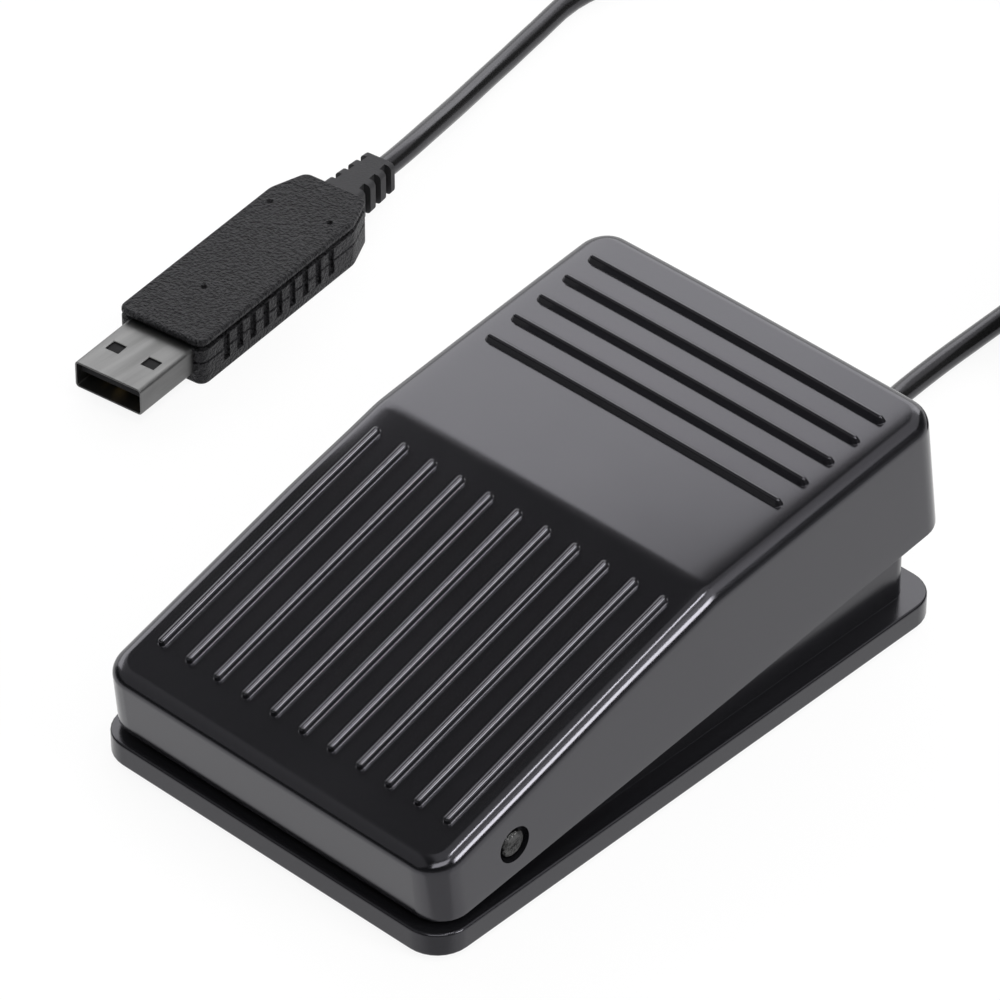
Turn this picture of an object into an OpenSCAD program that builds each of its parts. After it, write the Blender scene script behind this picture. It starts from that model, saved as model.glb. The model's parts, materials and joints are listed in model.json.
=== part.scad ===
// Foot pedal switch with a lead and a USB plug, drawn at rest with the pedal up.
// X runs across the pedal, Y from the low front end to the high rear end, Z up from the floor.

/* [Base] */
// Width of the base plate
base_width = 64; // [58:0.5:74]
// Length of the base plate, front to rear
base_length = 100.4; // [92:0.2:114]
// Corner radius of the base plate, seen from above
base_corner = 5.3; // [3:0.1:8]
// Height of the base rim
rim_height = 3.8; // [3:0.1:5]
// Thickness of the tray floor inside the rim
floor_thickness = 2.2; // [1.6:0.1:2.8]
// Distance from the side of the base to the upstand wall
upstand_inset = 3.4; // [3:0.1:5]
// Distance from the front of the base to the upstand wall
upstand_front_inset = 5; // [4.5:0.1:8]
// Distance from the rear of the base to the upstand wall
upstand_rear_inset = 3.2; // [2.6:0.1:5]
// Thickness of the upstand wall
upstand_wall = 1.8; // [1.2:0.1:2.4]
// Height of the upstand wall at the front
upstand_front = 9; // [7:0.5:10]
// Height of the upstand wall at the rear
upstand_rear = 17; // [14:0.5:20]
// Diameter of a rubber foot
foot_diameter = 9; // [6:0.5:12]
// How far a foot stands out below the base
foot_height = 0.8; // [0.4:0.1:2]
// How deep a foot sits in the base
foot_recess = 0.8; // [0.4:0.1:1.2]
// Distance from the sides of the base to the middle of a foot
foot_inset = 9; // [8:0.5:14]

/* [Pedal] */
// Distance from the side of the base to the pedal's lower edge
pedal_side_inset = 0.2; // [0:0.1:1]
// How much each side leans in towards the top
pedal_draft = 0.6; // [0:0.1:1.2]
// Distance from the front of the base to the front wall of the pedal
pedal_front_inset = 0.8; // [0:0.1:2]
// How far the rear wall of the pedal stands behind the base
pedal_overhang = 1; // [0:0.1:2]
// Height of the lower edge over the base's underside with the pedal pressed level
pedal_clearance = 6.3; // [5.5:0.1:8]
// Height of the front wall
pedal_front_height = 10; // [9:0.5:12]
// Height of the rear part
pedal_height = 20.1; // [18:0.1:26]
// Distance from the front wall to the fold between the two top faces
fold_distance = 54.7; // [48:0.5:60]
// Thickness of the side walls
pedal_wall = 2; // [1.4:0.1:2.4]
// Thickness of the top
pedal_top = 2.2; // [1.6:0.1:3]
// Corner radius of the pedal, seen from above
pedal_corner = 4.6; // [3.5:0.1:8]
// Radius of the rounded top edges
pedal_edge = 2.2; // [1:0.1:3]
// How far the pedal stands open at rest, in degrees
rest_tilt = 6.2; // [3:0.1:7]

/* [Ribs] */
// Number of long ribs on the front slope
long_ribs = 11; // [5:2:11]
// Distance from the pedal's side to the middle of the outermost long rib
long_side_gap = 5.55; // [5:0.05:8]
// Distance from the front wall to a long rib
long_front_gap = 7.2; // [6:0.1:14]
// Radius of a long rib
long_radius = 0.65; // [0.4:0.05:1]
// Distance from a long rib to the fold
long_gap = 4.3; // [3:0.1:6]
// Number of cross ribs on the rear flat
cross_ribs = 5; // [2:1:6]
// Distance between cross ribs
cross_pitch = 5.2; // [4:0.1:6]
// Distance from the pedal's side to the end of a cross rib
cross_side_gap = 5.1; // [4.5:0.1:10]
// Radius of a cross rib
cross_radius = 0.8; // [0.5:0.05:1.2]
// Distance from the rear wall to the last cross rib
cross_gap = 7; // [5:0.1:9]

/* [Hinge] */
// Distance from the front of the base to the hinge pin
pivot_distance = 15; // [12:0.2:20]
// Height of the hinge pin over the base's underside
pivot_height = 11.5; // [11:0.1:13]
// Diameter of the hinge pin
pin_diameter = 4; // [3:0.1:4.4]
// Diameter of the hole that shows the pin's end
pin_window = 5.4; // [5:0.1:8]
// Depth of that hole
pin_window_depth = 1; // [0.6:0.1:1.2]
// How far the pin's end lies under the pedal's side
pin_sunk = 0.2; // [0.2:0.1:1]
// Diameter of the bosses around the pin
boss_diameter = 9; // [8:0.5:9.5]
// Length of the ears that hold the pin
ear_length = 4; // [3:0.5:8]

/* [Return spring] */
// Distance from the rear of the base to the spring
spring_distance = 26.2; // [24:0.1:30]
// Mean diameter of the spring
spring_diameter = 10; // [9:0.2:12]
// Diameter of the spring wire
spring_wire = 1.2; // [0.8:0.1:1.4]
// Number of curls
spring_curls = 7; // [5:1:9]
// Height of the post inside the spring
spring_post = 6; // [3:0.5:8]
// Length of the pedal's boss inside the spring
spring_boss = 4; // [2:0.5:5]

/* [Switch] */
// Distance from the middle of the base to the switch, sideways
switch_x = 14; // [12:0.5:17]
// Distance from the rear of the base to the middle of the switch
switch_distance = 49.3; // [47:0.1:52]
// Height of the switch's underside over the base's underside
switch_bottom = 8.2; // [7:0.1:9]
// Length of the switch
switch_length = 19.8; // [18:0.2:21]
// Width of the switch
switch_width = 6.4; // [5.6:0.1:7]
// Height of the switch's lower case
case_height = 6.4; // [5:0.1:7]
// Height of the switch's cover
cover_height = 3.6; // [3:0.1:4]
// Distance between the two fixing screws of the switch
switch_screw_pitch = 9.5; // [8:0.1:11]
// Distance between the terminals
terminal_pitch = 7.4; // [6:0.1:8]
// Length of a terminal
terminal_length = 4.6; // [3:0.1:5]
// Length of the lever from its hinge
lever_length = 26; // [25.5:0.5:29]
// Width of the lever
lever_width = 3.6; // [3:0.1:4]
// Thickness of the lever
lever_sheet = 0.4; // [0.3:0.05:0.6]
// Distance from the lever's hinge to the plunger
plunger_arm = 5.2; // [4:0.1:7]
// Distance from the lever's hinge to the pedal's actuator
actuator_arm = 24; // [22:0.5:25]
// Radius of the actuator's nose
actuator_radius = 2; // [1.5:0.1:2.4]

/* [Cable] */
// Diameter of the cable
cable_diameter = 3.4; // [3:0.1:3.7]
// Height of the cable's way out over the base's underside
cable_height = 7.4; // [7.2:0.1:9]
// Gap between the cable clamp and the grommet
clamp_gap = 1.2; // [0.6:0.1:2]
// Width of the clamp
clamp_width = 18; // [16:0.5:22]
// Length of the clamp along the cable
clamp_length = 6; // [5:0.5:6.5]
// Height of the clamp bar
clamp_height = 3.2; // [2.6:0.1:4]
// Distance from the end of the clamp to the middle of a clamp screw
clamp_screw_inset = 2.8; // [2.5:0.1:3.2]
// Diameter of the grommet's flanges
grommet_flange = 6.6; // [6.2:0.1:7]
// Diameter of the grommet's neck in the wall
grommet_neck = 5.4; // [5:0.1:5.8]
// Length of the grommet's tail outside the wall
grommet_tail = 5; // [3:0.5:6]
// Diameter of a lead inside the base
lead_diameter = 1.3; // [1:0.1:1.5]
// Middle of the coil, across
coil_x = 21.5; // [21.5:0.5:40]
// Middle of the coil, towards the rear
coil_y = 124; // [124:0.5:140]
// Radius of the coil's outermost turn
coil_radius = 25.5; // [24:0.5:28]
// Distance between turns, sideways and upwards
coil_pitch = 3.9; // [3.85:0.05:4.4]
// Turns in one layer
coil_turns = 3; // [2:1:3]
// Width of the tie around the coil
tie_width = 8; // [5:0.5:10]
// Thickness of the tie
tie_thickness = 0.5; // [0.4:0.1:1]

/* [Plug] */
// Place of the plug's front, across
plug_x = -85.8; // [-90:0.1:-80]
// Place of the plug's front, towards the rear
plug_y = 15; // [10:0.1:20]
// Turn of the plug on the floor, in degrees
plug_turn = 7.2; // [0:0.1:12]
// Length of the plug's housing
plug_length = 42; // [40:0.5:50]
// Width of the plug's housing
plug_width = 15.4; // [15:0.1:18]
// Thickness of the plug's housing
plug_height = 7.8; // [7.6:0.1:10]
// Length of the tapered end of the housing
plug_taper = 6; // [4:0.5:8]
// Width of the housing at its cable end
plug_end_width = 11; // [10.5:0.1:13]
// Wall of the plug's housing
plug_wall = 1.4; // [1:0.1:1.6]
// Rounding of the housing's long edges
plug_edge = 1; // [0.4:0.1:1.3]
// Number of grip notches on each side
plug_notches = 9; // [4:1:9]
// Length of the boot outside the housing
boot_length = 11; // [8:0.5:14]
// Width of the boot at the housing
boot_width = 7; // [6:0.1:8]
// Width of the boot at the cable
boot_end_width = 5.4; // [4.6:0.1:6]
// Thickness of the boot
boot_height = 5.2; // [4.6:0.1:5.4]
// Width of the metal shell
usb_width = 12; // [12:0.1:12.2]
// Thickness of the metal shell
usb_height = 4.5; // [4.5:0.1:4.6]
// Length of the metal shell outside the housing
usb_length = 12; // [11:0.1:13]
// Sheet of the metal shell
usb_sheet = 0.3; // [0.2:0.05:0.4]

/* [Clearances] */
// Gap between the pin and the pedal's bore, all round
pin_clearance = 0.05; // [0.02:0.01:0.1]
// Gap between pieces that move past each other
moving_clearance = 0.3; // [0.2:0.05:0.5]
// Gap between the plunger and its slot, all round
plunger_clearance = 0.1; // [0.05:0.01:0.2]
// Gap around pieces that lie in a housing
seat_clearance = 0.2; // [0.1:0.05:0.3]

/* [Hidden] */
$fn = 48;
hull_fn = 32;

// Pedal, in the level frame: Y from the middle of the base, Z from its underside
base_front = -base_length / 2;
base_rear = base_length / 2;
pivot_y = base_front + pivot_distance;
spring_y = base_rear - spring_distance;
switch_y = base_rear - switch_distance;
pedal_width = base_width - 2 * pedal_side_inset;
pedal_front = base_front + pedal_front_inset;
pedal_rear = base_rear + pedal_overhang;
pedal_roof = pedal_clearance + pedal_height;
fold_y = pedal_front + fold_distance;
front_slope = atan((pedal_height - pedal_front_height) / fold_distance);
side_x = pedal_width / 2;
top_x = side_x - pedal_draft;
pin_side_x = side_x - pedal_draft * (pivot_height - pedal_clearance) / pedal_height;
ceiling = pedal_roof - pedal_top;
ceiling_fold_y = fold_y + pedal_top * tan(front_slope / 2);
pedal_inner_front = pedal_front + pedal_wall;
ceiling_front = ceiling - (ceiling_fold_y - pedal_inner_front) * tan(front_slope);
long_pitch = (pedal_width - 2 * long_side_gap) / (long_ribs - 1);
long_length = (fold_distance - long_front_gap) / cos(front_slope) - long_gap;
cross_length = pedal_width - 2 * cross_side_gap;

// The origin lies under the middle of the base and pedal together
rest_rear = pivot_y + (pedal_rear - pivot_y) * cos(rest_tilt) + (pivot_height - pedal_clearance) * sin(rest_tilt);
frame_y = -(rest_rear + base_front) / 2;

// Base
upstand_x = base_width / 2 - upstand_inset;
upstand_y0 = base_front + upstand_front_inset;
upstand_y1 = base_rear - upstand_rear_inset;
upstand_length = upstand_y1 - upstand_y0;
upstand_middle = (upstand_y0 + upstand_y1) / 2;
upstand_corner = 3;
pedal_boss_x = upstand_x + moving_clearance + 0.1;
pin_length = 2 * (pin_side_x - pin_sunk);
pin_dome = 0.5;

// Spring
spring_shift = (ceiling - pivot_height) * sin(rest_tilt) + (spring_y - pivot_y) * (1 - cos(rest_tilt));
spring_boss_y = spring_y + spring_shift / 2;
spring_boss_radius = spring_diameter / 2 - spring_wire / 2 - spring_shift / 2 - 2 * moving_clearance;
spring_outside = spring_diameter / 2 + spring_wire / 2;
spring_roof = pivot_height + (ceiling - pivot_height) / cos(rest_tilt)
    + (spring_y - spring_outside - pivot_y) * tan(rest_tilt);
spring_top = spring_roof - moving_clearance;

// Switch
bracket_thickness = 3;
cover_bottom = switch_bottom + case_height;
cover_top = cover_bottom + cover_height;
lever_barrel = 0.9;
lever_bore = 0.45;
lever_pin = lever_bore - pin_clearance;
lever_z = cover_top + lever_barrel + moving_clearance + 0.05;
lever_y = switch_y - switch_length / 2 + 1;
lug_thickness = 1;
actuator_y = lever_y + actuator_arm;
lever_rest = asin((actuator_y - pivot_y) * sin(rest_tilt) / actuator_arm);
actuator_z = lever_z + lever_barrel + moving_clearance + actuator_radius;
plunger_gap = 0.45;
plunger_top = lever_z + plunger_arm * sin(lever_rest) + (lever_barrel - lever_sheet) * cos(lever_rest) - plunger_gap;
plunger_travel = plunger_arm * sin(lever_rest);
plunger_bottom = cover_bottom + plunger_travel + moving_clearance;
plunger_size = [2.4, 1.6];
switch_screw_rise = 2.9;
switch_screw_z = switch_bottom + switch_screw_rise;
switch_screw_diameter = 2.4;
switch_screw_head = [4, 1.3];
terminal_size = [0.5, 3.2];

// Cable and its fixings
clamp_split = 0.1;
clamp_screw_diameter = 2.6;
clamp_screw_head = [4.6, 1.6];
clamp_screw_end = floor_thickness + 0.8;
clamp_screw_pitch = clamp_width - 2 * clamp_screw_inset;
grommet_lip = 1.5;
clamp_y = upstand_y1 - upstand_wall - grommet_lip - clamp_gap - clamp_length / 2;
grommet_end = upstand_y1 + grommet_lip + grommet_tail;
grommet_end_diameter = cable_diameter + 1.2;
tail_bare = 1.5;
tail_start = clamp_y - clamp_length / 2 - tail_bare;
lead_spread = 0.9;
cord_exit = [0, frame_y + upstand_y1, foot_height + cable_height];
cord_out = [0, frame_y + grommet_end + cable_diameter, foot_height + cable_height];
coil_bottom = tie_thickness + moving_clearance + cable_diameter / 2;
coil_layers = 4;
coil_loop_rings = 24;
coil_sides = 6;
coil_left = coil_x - coil_radius;
coil_start = [coil_left, coil_y - cable_diameter, coil_bottom];
coil_end = [coil_left, coil_y + cable_diameter, coil_bottom + (coil_layers - 1) * coil_pitch];
boot_end = [
    plug_x - (plug_length + boot_length) * sin(plug_turn),
    plug_y + (plug_length + boot_length) * cos(plug_turn),
    plug_height / 2
];
boot_away = [-sin(plug_turn), cos(plug_turn), 0];
cord_sides = 8;

// Route of the cable from inside the grommet to the coil
to_coil_route = concat(
    [cord_exit, cord_out],
    [[-0.6, 64, 6], [-1.8, 71.5, 3.2], [-3, 80, 1.7], [-3.7, 89, 1.7], [-4, 98, 1.7], [-4, 107, 2]],
    [coil_start - [0, cable_diameter, 0], coil_start]
);

// Route of the cable from the coil to the plug
to_plug_route = concat(
    [coil_end, coil_end + [0, cable_diameter, 0]],
    [[-4.6, 138, 13], [-7, 146, 10.4], [-11.5, 153.5, 7.4], [-18, 160, 4.4], [-26, 165, 2.4], [-35, 168.5, 1.7]],
    [[-45, 170.5, 1.7], [-55.5, 171, 1.7], [-66, 169.5, 1.7], [-76, 166, 1.7], [-85, 160, 1.7], [-92.5, 152, 1.7]],
    [[-98.5, 142.5, 1.7], [-102.5, 132, 1.7], [-103.9, 121.5, 1.7], [-102.2, 111.8, 1.7], [-100.5, 103.4, 1.7]],
    [[-99.3, 97.9, 1.9], [-98.1, 93, 2.2], [-96.9, 88.4, 2.6], [-95.7, 83.9, 3.1], [-94.6, 79.4, 3.5], [-93.6, 75.1, 3.8]],
    [boot_end + cable_diameter * boot_away, boot_end]
);

// Routes of the two leads: round the spring from the cable's end, along a lane beside the switch, to a terminal
terminal_face = switch_x - terminal_size[0] / 2;
lead_end_rise = 1.6;
lead_end_z = switch_bottom - terminal_length + lead_end_rise;
lead_drop = cable_height - lead_end_z;
lead_reach = tail_start - spring_y;
red_lane = switch_x - switch_width / 2 - switch_screw_head[1] - lead_diameter / 10;
black_lane = red_lane + 1.7 * lead_diameter;
red_end = [terminal_face, switch_y - terminal_pitch, lead_end_z];
black_end = [terminal_face, switch_y + terminal_pitch, lead_end_z];
function lead_bend(x, lane, reach) = concat(
    [[x, tail_start, cable_height], [x, tail_start - lead_diameter, cable_height]],
    [for (k = [[0.14, 0.29, 0.2], [0.48, 0.45, 0.4], [0.8, 0.73, 0.6], [0.97, 1.18, 0.8]])
        [x + k[0] * (lane - x), tail_start - k[1] * reach, cable_height - k[2] * lead_drop]]
);
function lead_lane(lane, from, to) = [for (k = [0.3, 0.6, 0.88]) [lane, from + k * (to - from), lead_end_z]];
red_route = concat(
    lead_bend(-lead_spread, red_lane, lead_reach),
    lead_lane(red_lane, spring_y, red_end[1]),
    [red_end - [2.4 * lead_diameter, 0, 0], red_end - [lead_diameter, 0, 0], red_end]
);
black_route = concat(
    lead_bend(lead_spread, black_lane, 0.75 * lead_reach),
    lead_lane(black_lane, spring_y, black_end[1] + lead_diameter),
    [black_end - [lead_diameter, 0, 0], black_end]
);

// Plug
plug_split = plug_height / 2;
plug_cavity_width = usb_width + 0.6;
plug_front_radius = 1.5;
plug_notch = [0.8, 1.8, 2];
plug_notch_pitch = 3.1;
plug_notch_first = 5;
usb_inside = 5;
usb_window = [2.3, 2];
usb_window_x = 3.2;
usb_bottom = plug_split - usb_height / 2;
tongue_size = [11, 16, 1.8];
tongue_top = plug_split + usb_height / 2 - usb_sheet;
contact_size = [1, 9, 0.2];
contact_pitch = 2.4;
board_size = [12, 30, 1.2];
board_y = usb_inside + 0.3;
board_z = plug_split - board_size[2] / 2;
chip_size = [5, 6, 1.5];
chip_y = board_y + 8;
crystal_size = [3.6, 8, 1.6];
crystal_y = board_y + 18;
boot_flange = [1.6, 1.6];

// Vector helpers for swept tubes
function unit(v) = v / norm(v);
function tangent(p, i) =
    i == 0 ? unit(p[1] - p[0])
    : i == len(p) - 1 ? unit(p[i] - p[i - 1])
    : unit(unit(p[i] - p[i - 1]) + unit(p[i + 1] - p[i]));
function across(t) = unit(cross(t, [0, 0, 1]));
function ring(p, t, radius, sides) = [
    for (k = [0 : sides - 1])
        p + radius * (cos(360 * k / sides) * across(t) + sin(360 * k / sides) * cross(across(t), t))
];

// Route of the coil: the radius runs in and out, and the height climbs where the radius reverses
function smooth(u) = let (v = min(max(u, 0), 1)) v * v * (3 - 2 * v);
function coil_reach(u) = let (layer = floor(u / coil_turns), w = u - layer * coil_turns)
    coil_radius - coil_pitch * (layer % 2 == 0 ? w : coil_turns - w);
function coil_climb(u, layer = 1) = layer == coil_layers ? 0
    : smooth((u - layer * coil_turns) * 2 + 0.5) + coil_climb(u, layer + 1);
function coil_point(u) = [
    coil_x + coil_reach(u) * cos(180 - 360 * u),
    coil_y + coil_reach(u) * sin(180 - 360 * u),
    coil_bottom + coil_pitch * coil_climb(u)
];
coil_total = coil_turns * coil_layers;
coil_route = concat(
    [coil_start],
    [for (i = [0 : coil_total * coil_loop_rings - 1]) coil_point(i / coil_loop_rings)],
    [[coil_left, coil_y, coil_end[2]], coil_end]
);

// Route of the spring
spring_rings = 8;
spring_bottom = floor_thickness + spring_wire / 2;
spring_rise = spring_top - spring_wire / 2 - spring_bottom;
spring_route = [
    for (i = [0 : spring_curls * spring_rings])
        let (u = i / (spring_curls * spring_rings), a = 360 * i / spring_rings)
            [spring_diameter / 2 * cos(a), spring_y + spring_diameter / 2 * sin(a), spring_bottom + spring_rise * u]
];

// Least gap of a wound tube to itself, between points that lie over half a turn apart
function self_gap(p, thickness, apart) = min([
    for (i = [0 : len(p) - 1]) for (j = [i + apart : 1 : len(p) - 1]) norm(p[i] - p[j])
]) - thickness;

module tube(p, thickness, sides) {
    count = len(p);
    polyhedron(
        points = [for (i = [0 : count - 1]) each ring(p[i], tangent(p, i), thickness / 2, sides)],
        faces = concat(
            [for (k = [1 : sides - 2]) [0, k + 1, k]],
            [for (i = [0 : count - 2]) for (k = [0 : sides - 1])
                let (a = i * sides + k, b = i * sides + (k + 1) % sides) each [[a, b, b + sides], [a, b + sides, a + sides]]],
            [for (k = [1 : sides - 2]) let (z = (count - 1) * sides) [z, z + k, z + k + 1]]
        )
    );
}

// Everything on the base stands on the feet and shares one origin
module in_frame() {
    translate([0, frame_y, foot_height]) children();
}

module at_rest() {
    translate([0, pivot_y, pivot_height]) rotate([rest_tilt, 0, 0]) translate([0, -pivot_y, -pivot_height]) children();
}

module in_plug() {
    translate([plug_x, plug_y, 0]) rotate([0, 0, plug_turn]) children();
}

module rounded_rect(width, length, radius) {
    square([width - 2 * radius, length], center = true);
    square([width, length - 2 * radius], center = true);
    for (x = [-1, 1], y = [-1, 1]) {
        translate([x * (width / 2 - radius), y * (length / 2 - radius)]) circle(radius);
    }
}

// A side view, Y and Z, drawn out across the base
module side_profile(points, width) {
    rotate([90, 0, 90]) linear_extrude(width, center = true) polygon(points);
}

module bar_x(diameter, length) {
    rotate([0, 90, 0]) cylinder(d = diameter, h = length, center = true);
}

module bar_y(diameter, y0, y1) {
    translate([0, y0, 0]) rotate([-90, 0, 0]) cylinder(d = diameter, h = y1 - y0);
}

module upstand() {
    intersection() {
        translate([0, upstand_middle, 0]) linear_extrude(upstand_rear) difference() {
            rounded_rect(2 * upstand_x, upstand_length, upstand_corner);
            rounded_rect(2 * (upstand_x - upstand_wall), upstand_length - 2 * upstand_wall, upstand_corner - upstand_wall);
        }
        side_profile([
            [upstand_y0, floor_thickness / 2], [upstand_y1, floor_thickness / 2],
            [upstand_y1, upstand_rear], [upstand_y0, upstand_front]
        ], base_width);
    }
}

module tray() {
    difference() {
        linear_extrude(rim_height) rounded_rect(base_width, base_length, base_corner);
        translate([0, upstand_middle, floor_thickness]) linear_extrude(rim_height)
            rounded_rect(2 * (upstand_x - upstand_wall), upstand_length - 2 * upstand_wall, upstand_corner - upstand_wall);
    }
}

module ears() {
    for (side = [-1, 1]) {
        translate([side * (upstand_x - ear_length / 2), pivot_y, pivot_height]) {
            bar_x(boss_diameter, ear_length);
            translate([-ear_length / 2, -boss_diameter / 2, floor_thickness / 2 - pivot_height])
                cube([ear_length, boss_diameter, pivot_height - floor_thickness / 2]);
        }
    }
}

module switch_bracket() {
    translate([switch_x + switch_width / 2, switch_y - switch_length / 2, floor_thickness / 2])
        cube([bracket_thickness, switch_length, switch_bottom + case_height - floor_thickness / 2]);
}

module clamp_pad() {
    translate([-clamp_width / 2, clamp_y - clamp_length / 2, floor_thickness / 2])
        cube([clamp_width, clamp_length, cable_height - clamp_split - floor_thickness / 2]);
}

module foot_place(i) {
    x = base_width / 2 - foot_inset;
    y = base_length / 2 - foot_inset;
    translate([i % 2 == 0 ? -x : x, i < 2 ? -y : y, -foot_height]) children();
}

module switch_screw_place(i) {
    translate([switch_x - switch_width / 2, switch_y + (i - 0.5) * switch_screw_pitch, switch_screw_z])
        rotate([0, 90, 0]) children();
}

module clamp_screw_place(i) {
    translate([(i - 0.5) * clamp_screw_pitch, clamp_y, cable_height + clamp_split / 2 + clamp_height]) children();
}

module base_tray() {
    color("#1a1a1c") in_frame() difference() {
        union() {
            tray();
            upstand();
            ears();
            switch_bracket();
            clamp_pad();
            translate([0, spring_y, floor_thickness / 2])
                cylinder(r = spring_diameter / 2 - spring_wire / 2 - moving_clearance, h = spring_post);
        }
        translate([0, pivot_y, pivot_height]) bar_x(pin_diameter, base_width);
        translate([0, 0, cable_height]) bar_y(grommet_neck, upstand_y1 - 2 * upstand_wall, base_rear);
        translate([0, 0, cable_height]) bar_y(cable_diameter, clamp_y - clamp_length, clamp_y + clamp_length);
        for (i = [0 : 3]) {
            foot_place(i) cylinder(d = foot_diameter, h = foot_height + foot_recess);
        }
        for (i = [0, 1]) {
            switch_screw_place(i) cylinder(d = switch_screw_diameter, h = switch_width + bracket_thickness + 1);
            clamp_screw_place(i) mirror([0, 0, 1])
                cylinder(d = clamp_screw_diameter, h = cable_height + clamp_split / 2 + clamp_height - clamp_screw_end);
        }
    }
}

module rubber_foot(i) {
    color("#242424") in_frame() foot_place(i) cylinder(d = foot_diameter, h = foot_height + foot_recess);
}

module hinge_pin() {
    r = pin_diameter / 2;
    straight = pin_length / 2 - pin_dome;
    dome = [for (a = [0 : 15 : 90]) [r * cos(a), straight + pin_dome * sin(a)]];
    foot = [for (p = dome) [p[0], -p[1]]];
    color("#4a4a4c") in_frame() translate([0, pivot_y, pivot_height]) rotate([0, 90, 0])
        rotate_extrude() polygon(concat(dome, [for (k = [len(foot) - 1 : -1 : 0]) foot[k]]));
}

module return_spring() {
    color("#b8b8b8") in_frame() tube(spring_route, spring_wire, 6);
}

// A rounded bead along Y, from the origin
module bead(length, radius) {
    low = [for (a = [-90 : 15 : 0]) [radius * cos(a), radius + radius * sin(a)]];
    high = [for (a = [0 : 15 : 90]) [radius * cos(a), length - radius + radius * sin(a)]];
    rotate([-90, 0, 0]) rotate_extrude() polygon(concat(low, high));
}

module round_corner() {
    rotate_extrude($fn = hull_fn) translate([pedal_corner - pedal_edge, 0]) circle(pedal_edge, $fn = hull_fn / 2);
}

// Outer form of the pedal: rounded lower corners, a sloping front face and a level rear face
module pedal_body() {
    front_disc = pedal_front + pedal_corner;
    roof_offset = pedal_roof * cos(front_slope) - fold_y * sin(front_slope);
    reach = pedal_edge + (pedal_corner - pedal_edge) * sin(front_slope);
    front_disc_z = (roof_offset - reach + front_disc * sin(front_slope)) / cos(front_slope);
    hull() {
        for (side = [-1, 1]) {
            for (y = [front_disc, pedal_rear - pedal_corner]) {
                translate([side * (side_x - pedal_corner), y, pedal_clearance])
                    cylinder(r = pedal_corner, h = 0.1, $fn = hull_fn);
            }
            translate([side * (top_x - pedal_corner), front_disc, front_disc_z]) round_corner();
            translate([side * (top_x - pedal_corner), pedal_rear - pedal_corner, pedal_roof - pedal_edge]) round_corner();
            translate([side * (top_x - pedal_edge), fold_y + pedal_edge * tan(front_slope / 2), pedal_roof - pedal_edge])
                sphere(pedal_edge, $fn = hull_fn);
        }
    }
}

module pedal_hollow() {
    radius = pedal_corner - pedal_wall;
    inner_x = side_x - pedal_wall;
    inner_top_x = top_x - pedal_wall;
    hull() {
        for (side = [-1, 1]) {
            for (y = [pedal_inner_front + radius, pedal_rear - pedal_wall - radius]) {
                translate([side * (inner_x - radius), y, pedal_clearance - 1]) cylinder(r = radius, h = 1, $fn = hull_fn);
            }
            translate([side * (inner_top_x - radius), pedal_inner_front + radius, ceiling_front - 0.1])
                cylinder(r = radius, h = 0.1, $fn = hull_fn);
            translate([side * (inner_top_x - radius), pedal_rear - pedal_wall - radius, ceiling - 0.1])
                cylinder(r = radius, h = 0.1, $fn = hull_fn);
            translate([side * (inner_top_x - 0.1), ceiling_fold_y, ceiling - 0.1]) cube([0.2, 0.2, 0.2], center = true);
        }
    }
}

module pedal_ribs() {
    for (i = [0 : long_ribs - 1]) {
        translate([(i - (long_ribs - 1) / 2) * long_pitch, fold_y, pedal_roof]) rotate([front_slope, 0, 0])
            translate([0, -long_gap - long_length, 0]) bead(long_length, long_radius);
    }
    for (i = [0 : cross_ribs - 1]) {
        translate([cross_length / 2, pedal_rear - cross_gap - i * cross_pitch, pedal_roof]) rotate([0, 0, 90])
            bead(cross_length, cross_radius);
    }
}

module pedal_bosses() {
    for (side = [-1, 1]) {
        translate([side * (pedal_boss_x + pin_side_x - 0.5) / 2, pivot_y, pivot_height])
            bar_x(boss_diameter, pin_side_x - 0.5 - pedal_boss_x);
    }
    translate([0, spring_boss_y, ceiling - spring_boss]) cylinder(r = spring_boss_radius, h = spring_boss + pedal_top / 2);
    translate([switch_x, actuator_y, actuator_z]) {
        bar_x(2 * actuator_radius, lever_width);
        translate([-lever_width / 2, -actuator_radius, 0])
            cube([lever_width, 2 * actuator_radius, ceiling + pedal_top / 2 - actuator_z]);
    }
}

module pedal_cover() {
    notch_width = grommet_flange + 4 * moving_clearance;
    notch_top = cable_height + grommet_flange / 2 + 2 * moving_clearance;
    color("#161618") in_frame() at_rest() difference() {
        union() {
            difference() {
                union() {
                    pedal_body();
                    pedal_ribs();
                }
                pedal_hollow();
            }
            pedal_bosses();
        }
        translate([0, pivot_y, pivot_height]) bar_x(pin_diameter + 2 * pin_clearance, 2 * pedal_width);
        for (side = [-1, 1]) {
            translate([side * (pin_side_x - pin_window_depth + pedal_width / 2), pivot_y, pivot_height])
                bar_x(pin_window, pedal_width);
        }
        translate([-notch_width / 2, pedal_rear - 2 * pedal_wall, 0]) cube([notch_width, 4 * pedal_wall, notch_top]);
    }
}

module switch_case() {
    color("#2b2b2e") in_frame() difference() {
        translate([switch_x - switch_width / 2, switch_y - switch_length / 2, switch_bottom])
            cube([switch_width, switch_length, case_height]);
        for (i = [0, 1]) {
            switch_screw_place(i) translate([0, 0, -1]) cylinder(d = switch_screw_diameter, h = switch_width + 2);
        }
    }
}

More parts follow.
